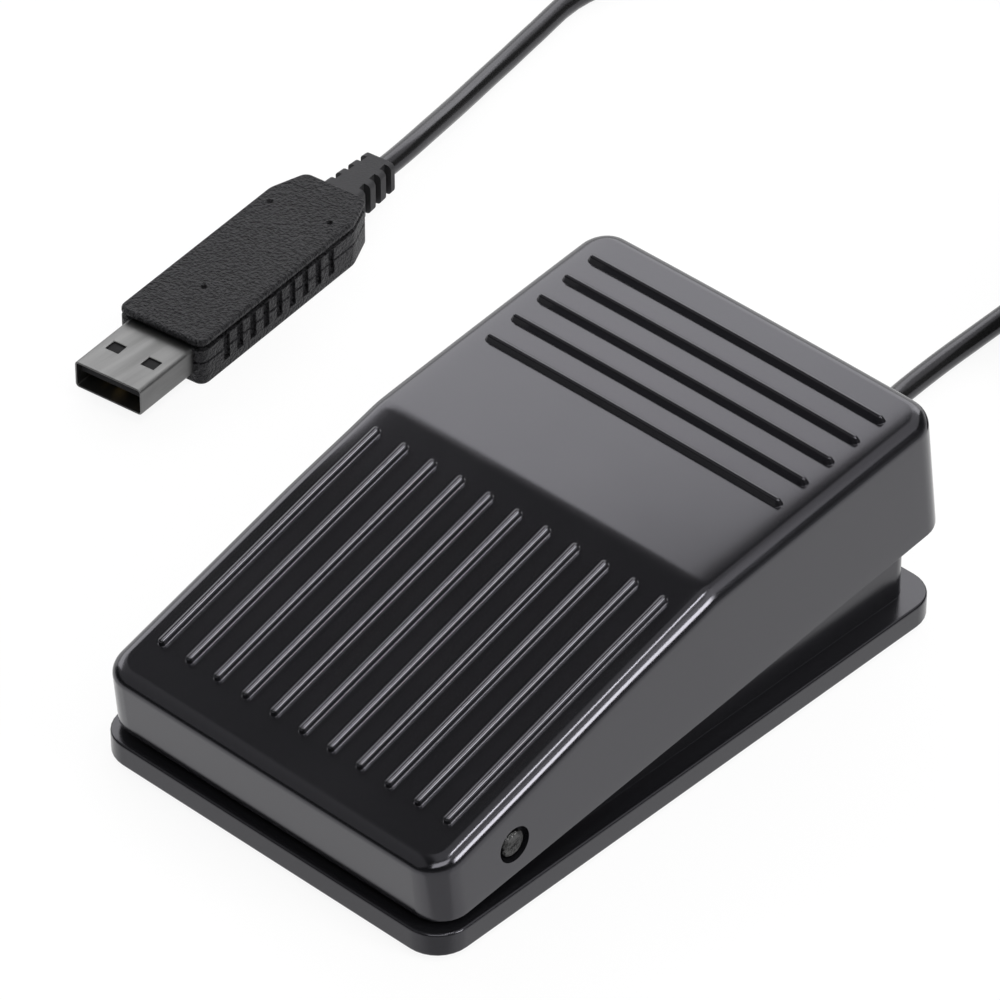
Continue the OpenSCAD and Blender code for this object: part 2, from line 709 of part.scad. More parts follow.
module switch_cover() {
    slot = [plunger_size[0] + 2 * plunger_clearance, plunger_size[1] + 2 * plunger_clearance];
    lug_x = lever_width / 2 + moving_clearance;
    color("#3a3a3d") in_frame() translate([switch_x, 0, 0]) {
        difference() {
            translate([-switch_width / 2, switch_y - switch_length / 2, cover_bottom])
                cube([switch_width, switch_length, cover_height]);
            translate([-slot[0] / 2, lever_y + plunger_arm - slot[1] / 2, cover_bottom - 1])
                cube([slot[0], slot[1], cover_height + 2]);
        }
        for (side = [0, 1]) mirror([side, 0, 0]) {
            translate([lug_x, lever_y - lever_barrel, cover_top - 0.5])
                cube([lug_thickness, 2 * lever_barrel, lever_z + lever_barrel - cover_top + 0.5]);
        }
        translate([0, lever_y, lever_z]) bar_x(2 * lever_pin, 2 * lug_x + lug_thickness);
    }
}

module switch_terminal(i) {
    color("#c9a54a") in_frame()
        translate([switch_x - terminal_size[0] / 2, switch_y + (i - 1) * terminal_pitch - terminal_size[1] / 2,
            switch_bottom - terminal_length])
            cube([terminal_size[0], terminal_size[1], terminal_length]);
}

module switch_screw(i) {
    color("#8d8d90") in_frame() switch_screw_place(i) {
        translate([0, 0, -switch_screw_head[1]]) cylinder(d = switch_screw_head[0], h = switch_screw_head[1]);
        cylinder(d = switch_screw_diameter, h = switch_width + bracket_thickness - 0.6);
    }
}

module switch_lever() {
    color("#b4b4b6") in_frame() translate([switch_x, lever_y, lever_z]) rotate([lever_rest, 0, 0]) difference() {
        union() {
            bar_x(2 * lever_barrel, lever_width);
            translate([-lever_width / 2, 0, lever_barrel - lever_sheet]) cube([lever_width, lever_length, lever_sheet]);
        }
        bar_x(2 * lever_bore, 2 * lever_width);
    }
}

module switch_plunger() {
    color("#d8d3c8") in_frame()
        translate([switch_x - plunger_size[0] / 2, lever_y + plunger_arm - plunger_size[1] / 2, plunger_bottom])
            cube([plunger_size[0], plunger_size[1], plunger_top - plunger_bottom]);
}

module cable_clamp() {
    color("#29292b") in_frame() difference() {
        translate([-clamp_width / 2, clamp_y - clamp_length / 2, cable_height + clamp_split / 2])
            cube([clamp_width, clamp_length, clamp_height]);
        translate([0, 0, cable_height]) bar_y(cable_diameter, clamp_y - clamp_length, clamp_y + clamp_length);
        for (i = [0, 1]) {
            clamp_screw_place(i) translate([0, 0, -clamp_height - 1]) cylinder(d = clamp_screw_diameter, h = clamp_height + 2);
        }
    }
}

module clamp_screw(i) {
    shank = cable_height + clamp_split / 2 + clamp_height - clamp_screw_end;
    color("#8d8d90") in_frame() clamp_screw_place(i) {
        cylinder(d = clamp_screw_head[0], h = clamp_screw_head[1]);
        translate([0, 0, -shank]) cylinder(d = clamp_screw_diameter, h = shank);
    }
}

module cable_grommet() {
    inner = upstand_y1 - upstand_wall;
    profile = [
        [cable_diameter / 2, inner - grommet_lip], [grommet_flange / 2, inner - grommet_lip],
        [grommet_flange / 2, inner], [grommet_neck / 2, inner], [grommet_neck / 2, upstand_y1],
        [grommet_flange / 2, upstand_y1], [grommet_flange / 2, upstand_y1 + grommet_lip],
        [grommet_end_diameter / 2, grommet_end], [cable_diameter / 2, grommet_end]
    ];
    color("#202022") in_frame() translate([0, 0, cable_height]) rotate([-90, 0, 0]) rotate_extrude() polygon(profile);
}

module cable_tail() {
    color("#222224") in_frame() translate([0, 0, cable_height]) bar_y(cable_diameter, tail_start, upstand_y1);
}

module lead_red() {
    color("#a02020") in_frame() tube(red_route, lead_diameter, cord_sides);
}

module lead_black() {
    color("#202020") in_frame() tube(black_route, lead_diameter, cord_sides);
}

module cable_to_coil() {
    color("#222224") tube(to_coil_route, cable_diameter, cord_sides);
}

module cable_coil() {
    color("#222224") tube(coil_route, cable_diameter, coil_sides);
}

module cable_to_plug() {
    color("#222224") tube(to_plug_route, cable_diameter, cord_sides);
}

// A flat tie around the bundle of turns, on the side where the layers lie level
module coil_tie() {
    half_pitch = coil_pitch / 2;
    outer = coil_radius - half_pitch + cable_diameter / 2 + moving_clearance;
    inner_turn = coil_radius - coil_pitch * coil_turns + half_pitch - cable_diameter / 2;
    inner = sqrt(inner_turn * inner_turn - tie_width * tie_width / 4) - moving_clearance;
    height = (coil_layers - 1) * coil_pitch + cable_diameter + 2 * moving_clearance;
    color("#111112") translate([coil_x, coil_y, tie_thickness]) rotate([90, 0, 0]) linear_extrude(tie_width, center = true)
        difference() {
            translate([inner - tie_thickness, -tie_thickness])
                square([outer - inner + 2 * tie_thickness, height + 2 * tie_thickness]);
            translate([inner, 0]) square([outer - inner, height]);
        }
}

module plug_outline(inset) {
    half = plug_width / 2 - inset;
    end_half = plug_end_width / 2 - inset;
    radius = plug_front_radius;
    translate([-half + radius, inset]) square([2 * half - 2 * radius, radius]);
    for (side = [-1, 1]) {
        translate([side * (half - radius), inset + radius]) circle(radius, $fn = hull_fn);
    }
    polygon([
        [-half, inset + radius], [half, inset + radius], [half, plug_length - plug_taper],
        [end_half, plug_length - inset], [-end_half, plug_length - inset], [-half, plug_length - plug_taper]
    ]);
}

// Upper half of the housing; the lower half is its mirror image
module plug_half() {
    cavity_top = plug_split - plug_wall;
    cavity_end = plug_length - plug_wall - boot_flange[1];
    difference() {
        hull() {
            linear_extrude(plug_split - plug_edge) plug_outline(0);
            linear_extrude(plug_split) plug_outline(plug_edge);
        }
        translate([-plug_cavity_width / 2, plug_wall, -1])
            cube([plug_cavity_width, cavity_end - plug_wall, cavity_top + 1]);
        translate([-usb_width / 2, -1, -1]) cube([usb_width, plug_wall + 2, usb_height / 2 + 1]);
        translate([-boot_width / 2, cavity_end - 1, -1]) cube([boot_width, plug_length, boot_height / 2 + 1]);
        translate([-boot_width / 2 - boot_flange[0] / 2, cavity_end - 1, -1])
            cube([boot_width + boot_flange[0], boot_flange[1] + 1, boot_height / 2 + 1]);
        for (side = [-1, 1], i = [0 : plug_notches - 1]) {
            translate([side * plug_width / 2 - plug_notch[0], plug_notch_first + i * plug_notch_pitch, -1])
                cube([2 * plug_notch[0], plug_notch[1], plug_notch[2] + 1]);
        }
    }
}

module plug_upper() {
    color("#303032") in_plug() translate([0, 0, plug_split]) plug_half();
}

module plug_lower() {
    color("#303032") in_plug() translate([0, 0, plug_split]) mirror([0, 0, 1]) plug_half();
}

module plug_boot() {
    slots = 3;
    slot_first = 2.6;
    slot_pitch = (boot_length - slot_first) / slots;
    slot_depth = 1.2;
    inside = plug_wall;
    boot_root = -inside - boot_flange[1] / 2;
    color("#2a2a2c") in_plug() translate([0, plug_length, plug_split - boot_height / 2]) difference() {
        union() {
            linear_extrude(boot_height) polygon([
                [-boot_width / 2, boot_root], [boot_width / 2, boot_root], [boot_width / 2, 0],
                [boot_end_width / 2, boot_length], [-boot_end_width / 2, boot_length], [-boot_width / 2, 0]
            ]);
            translate([-(boot_width + boot_flange[0]) / 2, -inside - boot_flange[1], 0])
                cube([boot_width + boot_flange[0], boot_flange[1], boot_height]);
        }
        for (side = [-1, 1], i = [0 : slots - 1]) {
            slot_y = slot_first + i * slot_pitch;
            half_there = boot_width / 2 - (boot_width - boot_end_width) / 2 * slot_y / boot_length;
            translate([side * (half_there + slot_depth) - 2 * slot_depth, slot_y, -1])
                cube([4 * slot_depth, slot_pitch / 2, boot_height + 2]);
        }
    }
}

module usb_shell() {
    color("#a9a9ab") in_plug() difference() {
        translate([-usb_width / 2, -usb_length, usb_bottom]) cube([usb_width, usb_length + usb_inside, usb_height]);
        translate([-usb_width / 2 + usb_sheet, -usb_length - 1, usb_bottom + usb_sheet])
            cube([usb_width - 2 * usb_sheet, usb_length + usb_inside + 2, usb_height - 2 * usb_sheet]);
        for (side = [-1, 1]) {
            translate([side * usb_window_x - usb_window[0] / 2, -usb_length / 2 - usb_window[1] / 2, usb_bottom - 1])
                cube([usb_window[0], usb_window[1], usb_height + 2]);
        }
    }
}

module usb_tongue() {
    color("#2c2c2e") in_plug() translate([-tongue_size[0] / 2, usb_inside - tongue_size[1], tongue_top - tongue_size[2]])
        cube(tongue_size);
}

module usb_contact(i) {
    color("#d6b24c") in_plug()
        translate([(i - 1.5) * contact_pitch - contact_size[0] / 2, usb_inside - tongue_size[1] + 0.5,
            tongue_top - tongue_size[2] - contact_size[2]])
            cube(contact_size);
}

module plug_board() {
    color("#1f5a32") in_plug() translate([-board_size[0] / 2, board_y, board_z]) cube(board_size);
}

module plug_chip() {
    color("#1c1c1c") in_plug() translate([-chip_size[0] / 2, chip_y, board_z + board_size[2]]) cube(chip_size);
}

module plug_crystal() {
    radius = crystal_size[0] / 2;
    color("#c4c4c6") in_plug() translate([0, crystal_y, board_z + board_size[2]]) linear_extrude(crystal_size[2]) {
        translate([-radius, radius]) square([crystal_size[0], crystal_size[1] - crystal_size[0]]);
        translate([0, radius]) circle(radius);
        translate([0, crystal_size[1] - radius]) circle(radius);
    }
}

base_tray();
for (i = [0 : 3]) rubber_foot(i);
hinge_pin();
return_spring();
switch_case();
switch_cover();
for (i = [0 : 2]) switch_terminal(i);
for (i = [0 : 1]) switch_screw(i);
switch_lever();
switch_plunger();
cable_clamp();
for (i = [0 : 1]) clamp_screw(i);
cable_grommet();
cable_tail();
lead_red();
lead_black();
pedal_cover();
cable_to_coil();
cable_coil();
coil_tie();
cable_to_plug();
plug_boot();
plug_lower();
plug_upper();
usb_shell();
usb_tongue();
for (i = [0 : 3]) usb_contact(i);
plug_board();
plug_chip();
plug_crystal();

// Printed facts: least gaps of the wound tubes, and the motion that follows the pedal
echo(coil_gap = self_gap(coil_route, cable_diameter, coil_loop_rings / 2));  // cable_coil
echo(spring_gap = self_gap(spring_route, spring_wire, spring_rings / 2));  // return_spring
echo(lever_rest = lever_rest, plunger_travel = plunger_travel, frame_y = frame_y, cord_exit = cord_exit);
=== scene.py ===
import bpy
import bmesh
import json
import math
import numpy as np
from mathutils import Matrix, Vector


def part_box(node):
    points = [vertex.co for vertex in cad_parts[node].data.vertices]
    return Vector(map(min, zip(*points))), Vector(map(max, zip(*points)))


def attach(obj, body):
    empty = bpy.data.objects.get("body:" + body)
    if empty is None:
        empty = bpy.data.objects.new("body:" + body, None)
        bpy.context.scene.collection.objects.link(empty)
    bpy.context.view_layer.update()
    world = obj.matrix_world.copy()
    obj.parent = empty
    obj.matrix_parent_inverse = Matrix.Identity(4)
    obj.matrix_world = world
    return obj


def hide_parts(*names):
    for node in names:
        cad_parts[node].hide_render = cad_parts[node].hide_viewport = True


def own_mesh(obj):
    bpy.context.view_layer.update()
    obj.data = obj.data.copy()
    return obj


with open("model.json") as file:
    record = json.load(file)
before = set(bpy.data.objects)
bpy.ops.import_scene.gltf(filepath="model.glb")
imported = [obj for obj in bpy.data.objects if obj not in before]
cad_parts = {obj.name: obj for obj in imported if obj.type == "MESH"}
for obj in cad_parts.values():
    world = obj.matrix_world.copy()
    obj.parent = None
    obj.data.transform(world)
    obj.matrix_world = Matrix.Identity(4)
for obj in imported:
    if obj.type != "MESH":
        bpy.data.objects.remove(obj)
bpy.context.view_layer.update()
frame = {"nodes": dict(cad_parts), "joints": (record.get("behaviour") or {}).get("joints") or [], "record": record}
nodes = frame["nodes"]
scene = bpy.context.scene
scene.view_settings.view_transform = "Standard"
mm = 0.001
sharpAngle = 38  # edges that turn further than this stay sharp

# the hinge and its travel come from the frame, so the pedal is drawn level and then tipped to rest
pedalJoint = next(j for j in frame["joints"] if j["name"] == "pedal_press")
pinPlace = np.array(pedalJoint["pos_m"])
restTilt = math.radians(pedalJoint["range_deg"][1])
baseLow, baseHigh = (np.array(corner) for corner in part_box("base_tray"))
print("frame loaded:", len(nodes), "nodes, pedal stands open", pedalJoint["range_deg"][1], "degrees")

# the same places in millimetres, in which the pieces are drawn
pin = pinPlace / mm
pinLine = pin * [0, 1, 1]
baseHalf, baseFront, baseRear = baseHigh[0] / mm, baseLow[1] / mm, baseHigh[1] / mm
baseMiddle = (baseFront + baseRear) / 2
underside = baseLow[2] / mm

# camera: a long lens from the front right, above the pedal
cameraView = dict(place=(0.52806, -0.56637, 0.65238), azimuth=43.256, elevation=38.714, lens=267.49,
                  sensor=36, clip=0.01)
cameraData = bpy.data.cameras.new("photoCamera")
cameraData.lens = cameraView["lens"]
cameraData.sensor_width = cameraView["sensor"]
cameraData.clip_start = cameraView["clip"]
camera = bpy.data.objects.new("photoCamera", cameraData)
camera.location = cameraView["place"]
camera.rotation_euler = (math.radians(90 - cameraView["elevation"]), 0, math.radians(cameraView["azimuth"]))
scene.collection.objects.link(camera)
scene.camera = camera
dressed = []  # the pieces with their slots, for the finishes


# mesh helpers: a part is an array of points in millimetres and an array of four-sided faces
def stackRings(rings, capStart=False, capEnd=False):
    # rings of equal count, joined row to row; a cap zips each point to its mirror partner across the ring
    rings = np.asarray(rings, float)
    rows, count = rings.shape[:2]
    i, k = np.meshgrid(np.arange(rows - 1), np.arange(count), indexing="ij")
    n = (k + 1) % count
    low, high = i * count, (i + 1) * count
    quads = [np.stack([low + k, low + n, high + n, high + k], -1).reshape(-1, 4)]
    j = np.arange(count // 2 - 1)
    zipped = np.stack([j, j + 1, count - 2 - j, count - 1 - j], -1)
    if capStart:
        quads.append(zipped[:, ::-1])
    if capEnd:
        quads.append(zipped + (rows - 1) * count)
    return rings.reshape(-1, 3), np.concatenate(quads)


def gridQuads(rows, columns):
    # faces of a plain grid of points, rows by columns
    i, k = np.meshgrid(np.arange(rows - 1), np.arange(columns - 1), indexing="ij")
    a = i * columns + k
    return np.stack([a, a + 1, a + columns + 1, a + columns], -1).reshape(-1, 4)


def volumeOf(points, quads):
    # signed volume: the sum of the pyramids from the origin to each half face
    a, b, c, d = (points[quads[:, k]] for k in range(4))
    return np.sum(np.cross(a, b) * c) + np.sum(np.cross(a, c) * d)


def outward(part):
    # the part with its faces turned to the outside
    points, quads = part
    return points, quads if volumeOf(points, quads) > 0 else quads[:, ::-1]


def solid(rings):
    # the body of a stack of rings, closed at both ends
    return outward(stackRings(rings, True, True))


def joinParts(parts):
    # several parts as one, the faces of each counted on from the points before it
    starts = np.cumsum([0] + [len(points) for points, quads in parts[:-1]])
    faces = [quads + start for start, (points, quads) in zip(starts, parts)]
    return np.concatenate([points for points, quads in parts]), np.concatenate(faces)


def addMesh(name, part, sharp=sharpAngle):
    # the mesh of a part, doubles merged, smooth except at edges sharper than the given angle
    points, quads = part
    mesh = bpy.data.meshes.new(name)
    mesh.from_pydata(points * mm, [], quads)
    work = bmesh.new()
    work.from_mesh(mesh)
    bmesh.ops.remove_doubles(work, verts=work.verts, dist=1e-7)
    bmesh.ops.dissolve_degenerate(work, edges=work.edges, dist=1e-8)
    work.to_mesh(mesh)
    work.free()
    mesh.shade_smooth()
    mesh.set_sharp_from_angle(angle=math.radians(sharp))
    obj = bpy.data.objects.new(name, mesh)
    scene.collection.objects.link(obj)
    return obj


def settle(obj, body, slotName, *replaced):
    # the piece rides on its body, takes its finish's slot and stands for its nodes
    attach(obj, body)
    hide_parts(*replaced)
    dressed.append((obj, slotName))
    return obj


def weightNormals(obj, favour=100):
    # normals lean to the larger faces, so flat faces stay flat beside their rounded edges
    modifier = obj.modifiers.new("flatFaces", "WEIGHTED_NORMAL")
    modifier.keep_sharp = True
    modifier.weight = favour


def cutAway(obj, part):
    # the part's solid is taken out of the object's mesh for good
    cutter = addMesh("cutter", part)
    modifier = obj.modifiers.new("cut", "BOOLEAN")
    modifier.object = cutter
    modifier.operation = "DIFFERENCE"
    modifier.solver = "EXACT"
    bpy.context.view_layer.update()
    obj.data = bpy.data.meshes.new_from_object(obj.evaluated_get(bpy.context.evaluated_depsgraph_get()))
    obj.modifiers.clear()
    bpy.data.objects.remove(cutter)


def boxOf(name):
    # the low and high corners of a node's box
    return np.array(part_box(name)) / mm


def smoothStep(x):
    # from 0 to 1 with level ends, for x from 0 to 1
    x = np.clip(x, 0, 1)
    return x * x * (3 - 2 * x)


def turnX(points, angle):
    # points turned about the X axis
    c, s = math.cos(angle), math.sin(angle)
    return points @ np.array([[1, 0, 0], [0, c, -s], [0, s, c]]).T


def circleLoop(count):
    # a unit circle, with its points half a step off the axes so that a cap can zip it
    t = 2 * np.pi * (np.arange(count) + 0.5) / count
    return np.column_stack([np.cos(t), np.sin(t)])


def roundedLoop(halfX, yLow, yHigh, radius, steps=8):
    # half of a rounded rectangle from front to rear, then its mirror image: points and outward directions
    a = np.radians(np.linspace(-90, 0, steps + 1))
    b = np.radians(np.linspace(0, 90, steps + 1))
    directions = np.stack([np.cos(np.r_[a, b]), np.sin(np.r_[a, b])], -1)
    centres = np.r_[np.tile([halfX - radius, yLow + radius], (steps + 1, 1)),
                    np.tile([halfX - radius, yHigh - radius], (steps + 1, 1))]
    right = centres + radius * directions
    flip = np.array([-1, 1])
    return np.r_[right, right[::-1] * flip], np.r_[directions, directions[::-1] * flip]


def lift(loop, z):
    # a flat loop raised to a height, or to a height for each point
    return np.column_stack([loop, np.broadcast_to(z, len(loop))])


def quarterRings(loop, away, reach, z, rise, count=6):
    # a quarter round, from the loop set out by the reach at height z to the plain loop, raised by the rise
    f = np.radians(np.linspace(0, 90, count))
    return [lift(loop + away * reach * (1 - math.sin(a)), z + rise * (1 - math.cos(a))) for a in f]


def spinX(profile, centre, steps=40):
    # a profile of (x, radius) pairs turned about an axis along X
    profile = np.asarray(profile, float)
    t = np.linspace(0, 2 * np.pi, steps, endpoint=False)
    x = np.repeat(profile[:, :1], steps, 1)
    return np.stack([x, profile[:, 1:] * np.cos(t), profile[:, 1:] * np.sin(t)], -1) + centre


def roundedBox(low, high, edge, steps=3):
    # a box whose upright outline and rims are rounded by the same edge radius
    low, high = np.asarray(low, float), np.asarray(high, float)
    middle, half = (low + high) / 2, (high - low) / 2
    loop, away = roundedLoop(half[0], -half[1], half[1], edge, steps)
    loop = loop + middle[:2]
    rings = quarterRings(loop, away, -edge, low[2], edge, steps + 1)
    rings += quarterRings(loop, away, -edge, high[2], -edge, steps + 1)[::-1]
    return solid(rings)


def stackLoops(loop, centre, levels):
    # a closed body of one loop, scaled and raised at each level of (scale, height)
    return solid([lift(loop * size + centre, z) for size, z in levels])


# plug and boot: their sizes come first because the cable runs to them
plug = dict(place=(-85.8, 15.0), turn=7.2, length=42, width=15.4, height=7.8, taper=6, endWidth=11,
            bendRound=4, tailRound=1.6, edge=0.5, wall=1.4, frontRound=1.5, notches=9, notchFirst=5,
            notchPitch=3.1, notchLong=1.4, notchDeep=0.5, notchHigh=2.1, notchEdge=0.02, cavity=6.3,
            cavityRear=3, seam=0.1, seamEdge=0.15, grooveLow=2.15, grooveHigh=3.1, grooveDeep=0.7,
            grooveEdge=0.1, dimples=((-0.5, 11), (4.8, 34), (-5.4, 33)), dimpleRadius=0.55,
            dimpleDeep=0.4, dimpleClear=0.3)
boot = dict(length=11, width=7.0, endWidth=5.4, height=5.2, round=0.8, slots=3, slotFirst=2.6, slotPitch=2.8,
            slotLong=1.4, slotDeep=1.2, slotEdge=0.01, sunk=1.4, endRound=0.4)


def onFloor(points):
    # the plug's own axes turned and moved to where it lies
    a = math.radians(plug["turn"])
    turned = points @ np.array([[math.cos(a), math.sin(a), 0], [-math.sin(a), math.cos(a), 0], [0, 0, 1]])
    return turned + [*plug["place"], plug["height"] / 2]


# cable: one tube from inside the grommet, through the tied coil, to the plug's boot
cable = dict(diameter=3.4, sides=16, step=2.5, exitPlace=(0, 46.472, 8.2), exitRun=9.9,
             coilMiddle=(21.5, 124), coilRadius=25.5, coilPitch=3.9, coilBottom=2.5, turns=3, layers=4,
             loopPoints=36)


def smoothPath(points, step):
    # a centripetal curve through the points, sampled about every step
    p = np.asarray(points, float)
    p = np.r_[[2 * p[0] - p[1]], p, [2 * p[-1] - p[-2]]]
    t = np.r_[0, np.cumsum(np.sqrt(np.linalg.norm(np.diff(p, axis=0), axis=1)))]
    pieces = []
    for i in range(1, len(p) - 2):
        count = max(2, int(np.linalg.norm(p[i + 1] - p[i]) / step))
        u = np.linspace(t[i], t[i + 1], count, endpoint=False)[:, None]
        a = [((t[j + 1] - u) * p[j] + (u - t[j]) * p[j + 1]) / (t[j + 1] - t[j]) for j in range(i - 1, i + 2)]
        b = [((t[j + 2] - u) * a[k] + (u - t[j]) * a[k + 1]) / (t[j + 2] - t[j])
             for k, j in enumerate((i - 1, i))]
        pieces.append(((t[i + 1] - u) * b[0] + (u - t[i]) * b[1]) / (t[i + 1] - t[i]))
    return np.concatenate(pieces + [p[-2:-1]])


def coilPath(c):
    # the radius runs in and out at a steady rate, and the height climbs in the half turn where it reverses
    total = c["turns"] * c["layers"]
    u = np.linspace(0, total, total * c["loopPoints"] + 1)
    reach = c["coilRadius"] - c["coilPitch"] * np.abs((u + c["turns"]) % (2 * c["turns"]) - c["turns"])
    climb = np.sum(smoothStep((u[:, None] - c["turns"] * np.arange(1, c["layers"])) * 2 + 0.5), axis=1)
    angle = np.pi - 2 * np.pi * u
    x, y = c["coilMiddle"]
    return np.column_stack([x + reach * np.cos(angle), y + reach * np.sin(angle),
                            c["coilBottom"] + c["coilPitch"] * climb])


def sweepCircle(path, radius, sides):
    # circles square to the path, each with one axis level and the other upright
    along = np.gradient(path, axis=0)
    along /= np.linalg.norm(along, axis=1)[:, None]
    level = np.cross(along, [0, 0, 1])
    level /= np.linalg.norm(level, axis=1)[:, None]
    upright = np.cross(level, along)
    t = np.linspace(0, 2 * np.pi, sides, endpoint=False)[:, None]
    rings = path[:, None] + radius * (np.cos(t) * level[:, None] + np.sin(t) * upright[:, None])
    return solid(rings)


def buildCable(c):
    # the route to the coil, the coil, and the route from it to the boot, none of it under the floor
    d = c["diameter"]
    start = np.array(c["exitPlace"], float)
    coil = coilPath(c)
    before, after = coil[0] - [0, d, 0], coil[-1] + [0, d, 0]
    bootEnd = plug["length"] + boot["length"]
    beforeEnd, end = onFloor(np.array([[0, bootEnd + d, 0], [0, bootEnd, 0]]))
    toCoil = [start, start + [0, c["exitRun"], 0], (-0.6, 64, 6), (-1.8, 71.5, 3.2), (-3, 80, 1.7),
              (-3.7, 89, 1.7), (-4, 98, 1.7), (-4, 107, 2), before - [0, d, 0], before]
    toPlug = [after, after + [0, d, 0], (-4.6, 138, 13), (-7, 146, 10.4), (-11.5, 153.5, 7.4),
              (-18, 160, 4.4), (-26, 165, 2.4), (-35, 168.5, 1.7), (-45, 170.5, 1.7), (-55.5, 171, 1.7),
              (-66, 169.5, 1.7), (-76, 166, 1.7), (-85, 160, 1.7), (-92.5, 152, 1.7), (-98.5, 142.5, 1.7),
              (-102.5, 132, 1.7), (-103.9, 121.5, 1.7), (-102.2, 111.8, 1.7), (-100.5, 103.4, 1.7),
              (-99.3, 97.9, 1.9), (-98.1, 93, 2.2), (-96.9, 88.4, 2.6), (-95.7, 83.9, 3.1),
              (-94.6, 79.4, 3.5), (-93.6, 75.1, 3.8), beforeEnd, end]
    path = np.concatenate([smoothPath(toCoil, c["step"]), coil, smoothPath(toPlug, c["step"])])
    path[:, 2] = np.maximum(path[:, 2], d / 2)
    return addMesh("cable", sweepCircle(path, d / 2, c["sides"])), path * mm


cableObject, cablePath = buildCable(cable)
settle(cableObject, "base", "cable_jacket", "cable_to_coil", "cable_coil", "cable_to_plug")


# pedal: a hollow cover drawn level, then tipped about the pin
pedal = dict(sideInset=0.2, draft=0.6, frontInset=0.8, overhang=1.0, clearance=6.3, frontHeight=10,
             height=20.1, fold=54.7, foldRound=1.0, wall=2.0, top=2.2, corner=4.6, edge=2.2, edgeStep=7.5,
             frontKnee=34, frontTight=1.1, lip=0.35, crown=0.36, crownShare=0.75, crownFade=20, edgePower=30,
             rearCrown=0.14, slopeRows=22, foldRows=9, flatRows=18, columns=33, ceilingRound=0.4,
             cableNotch=(3.9, 11.3), notchReach=4, notchLow=-5, notchRound=0.6, pinBore=4.1, pinWindow=5.4,
             windowDepth=1.7, cutX=(26, 36))
pedalInside = dict(bossStart=29.0, bossEnd=1.9, bossDiameter=9, nose=(14, 16, 22.65), noseRadius=2,
                   noseTop=3.0, noseHalf=1.8, springBoss=24.86, springRadius=2.94, springTip=2.6,
                   springLow=6.2, springTaper=5.8, springHigh=1.5)
longRibs = dict(count=11, side=5.55, front=7.2, gap=4.3, height=1.1, crest=0.5, flank=84, fillet=0.14,
                sunk=0.4)
crossRibs = dict(count=5, pitch=5.2, side=5.1, gap=7.05, height=1.0, crest=0.48, flank=64, fillet=0.08,
                 sunk=0.4)

pedalFront = baseFront + pedal["frontInset"]
pedalRear = baseRear + pedal["overhang"]
pedalBottom = underside + pedal["clearance"]
pedalRoof = pedalBottom + pedal["height"]
foldPlace = pedalFront + pedal["fold"]
slopeRate = (pedal["height"] - pedal["frontHeight"]) / pedal["fold"]
slopeAngle = math.atan(slopeRate)
sideHalf = baseHalf - pedal["sideInset"]
topHalf = sideHalf - pedal["draft"]


def roofHeight(y):
    # level behind the fold, falling at the slope's rate before it, with a short round between
    b = pedal["foldRound"]
    d = foldPlace - y
    fall = np.where(d > b, d, np.where(d > -b, (d + b) ** 2 / (4 * b), 0))
    return pedalRoof - slopeRate * fall


def crownDrop(x, y):
    # how far the top falls from a flat face: across it with the square of the distance from the middle line,
    # and with a high power of it that turns the face down at the edge; this fades out before the fold, behind
    # which the top also falls with the square of the distance from the middle of the level part
    middle, reach = (foldPlace + pedalRear) / 2, (pedalRear - foldPlace) / 2
    back = np.where(y > foldPlace, ((y - middle) / reach) ** 2 - 1, 0)
    u = np.abs(x) / (topHalf - pedal["edge"])
    n, share = pedal["edgePower"], pedal["crownShare"]
    turned = np.minimum(u, 1) ** n + n * np.maximum(u - 1, 0)
    fade = smoothStep((y - foldPlace) / pedal["crownFade"] + 1)
    return pedal["crown"] * (share * u * u + (1 - share) * turned) * fade + pedal["rearCrown"] * back


def roofGrid():
    # rows along the pedal and columns across it, inside the rounded edge; the corners follow small arcs
    e, r = pedal["edge"], pedal["corner"] - pedal["edge"]
    y0, y1 = pedalFront + e, pedalRear - e
    arc = r * (1 - np.cos(np.radians(np.arange(0, 91, 10))))
    bend = pedal["foldRound"]
    rows = np.r_[y0 + arc, np.linspace(y0 + r, foldPlace - 1.5 * bend, pedal["slopeRows"])[1:],
                 foldPlace + np.linspace(-bend, bend, pedal["foldRows"]),
                 np.linspace(foldPlace + 1.5 * bend, y1 - r, pedal["flatRows"]), y1 - arc[::-1][1:]]
    into = np.clip(r - np.minimum(rows - y0, y1 - rows), 0, r)
    reach = np.sqrt(r * r - into * into)
    across = np.sin(np.radians(np.linspace(-90, 90, pedal["columns"])))
    x = (topHalf - e - r + reach)[:, None] * across
    y = np.repeat(rows[:, None], len(across), 1)
    side = np.column_stack([reach / r, np.where(rows < foldPlace, -1, 1) * into / r])
    return x, y, side


def ringOf(grid):
    # the border of a grid, once round: front row, right column, rear row, left column
    return np.concatenate([grid[0, :-1], grid[:-1, -1], grid[-1, :0:-1], grid[:0:-1, 0]])


def borderDirections(x, side):
    # which way is out at each point of the border
    rows, columns = x.shape
    away = np.zeros((rows, columns, 2))
    away[0, :] = [0, -1]
    away[-1, :] = [0, 1]
    away[:, -1] = side
    away[:, 0] = side * [-1, 1]
    return ringOf(away)


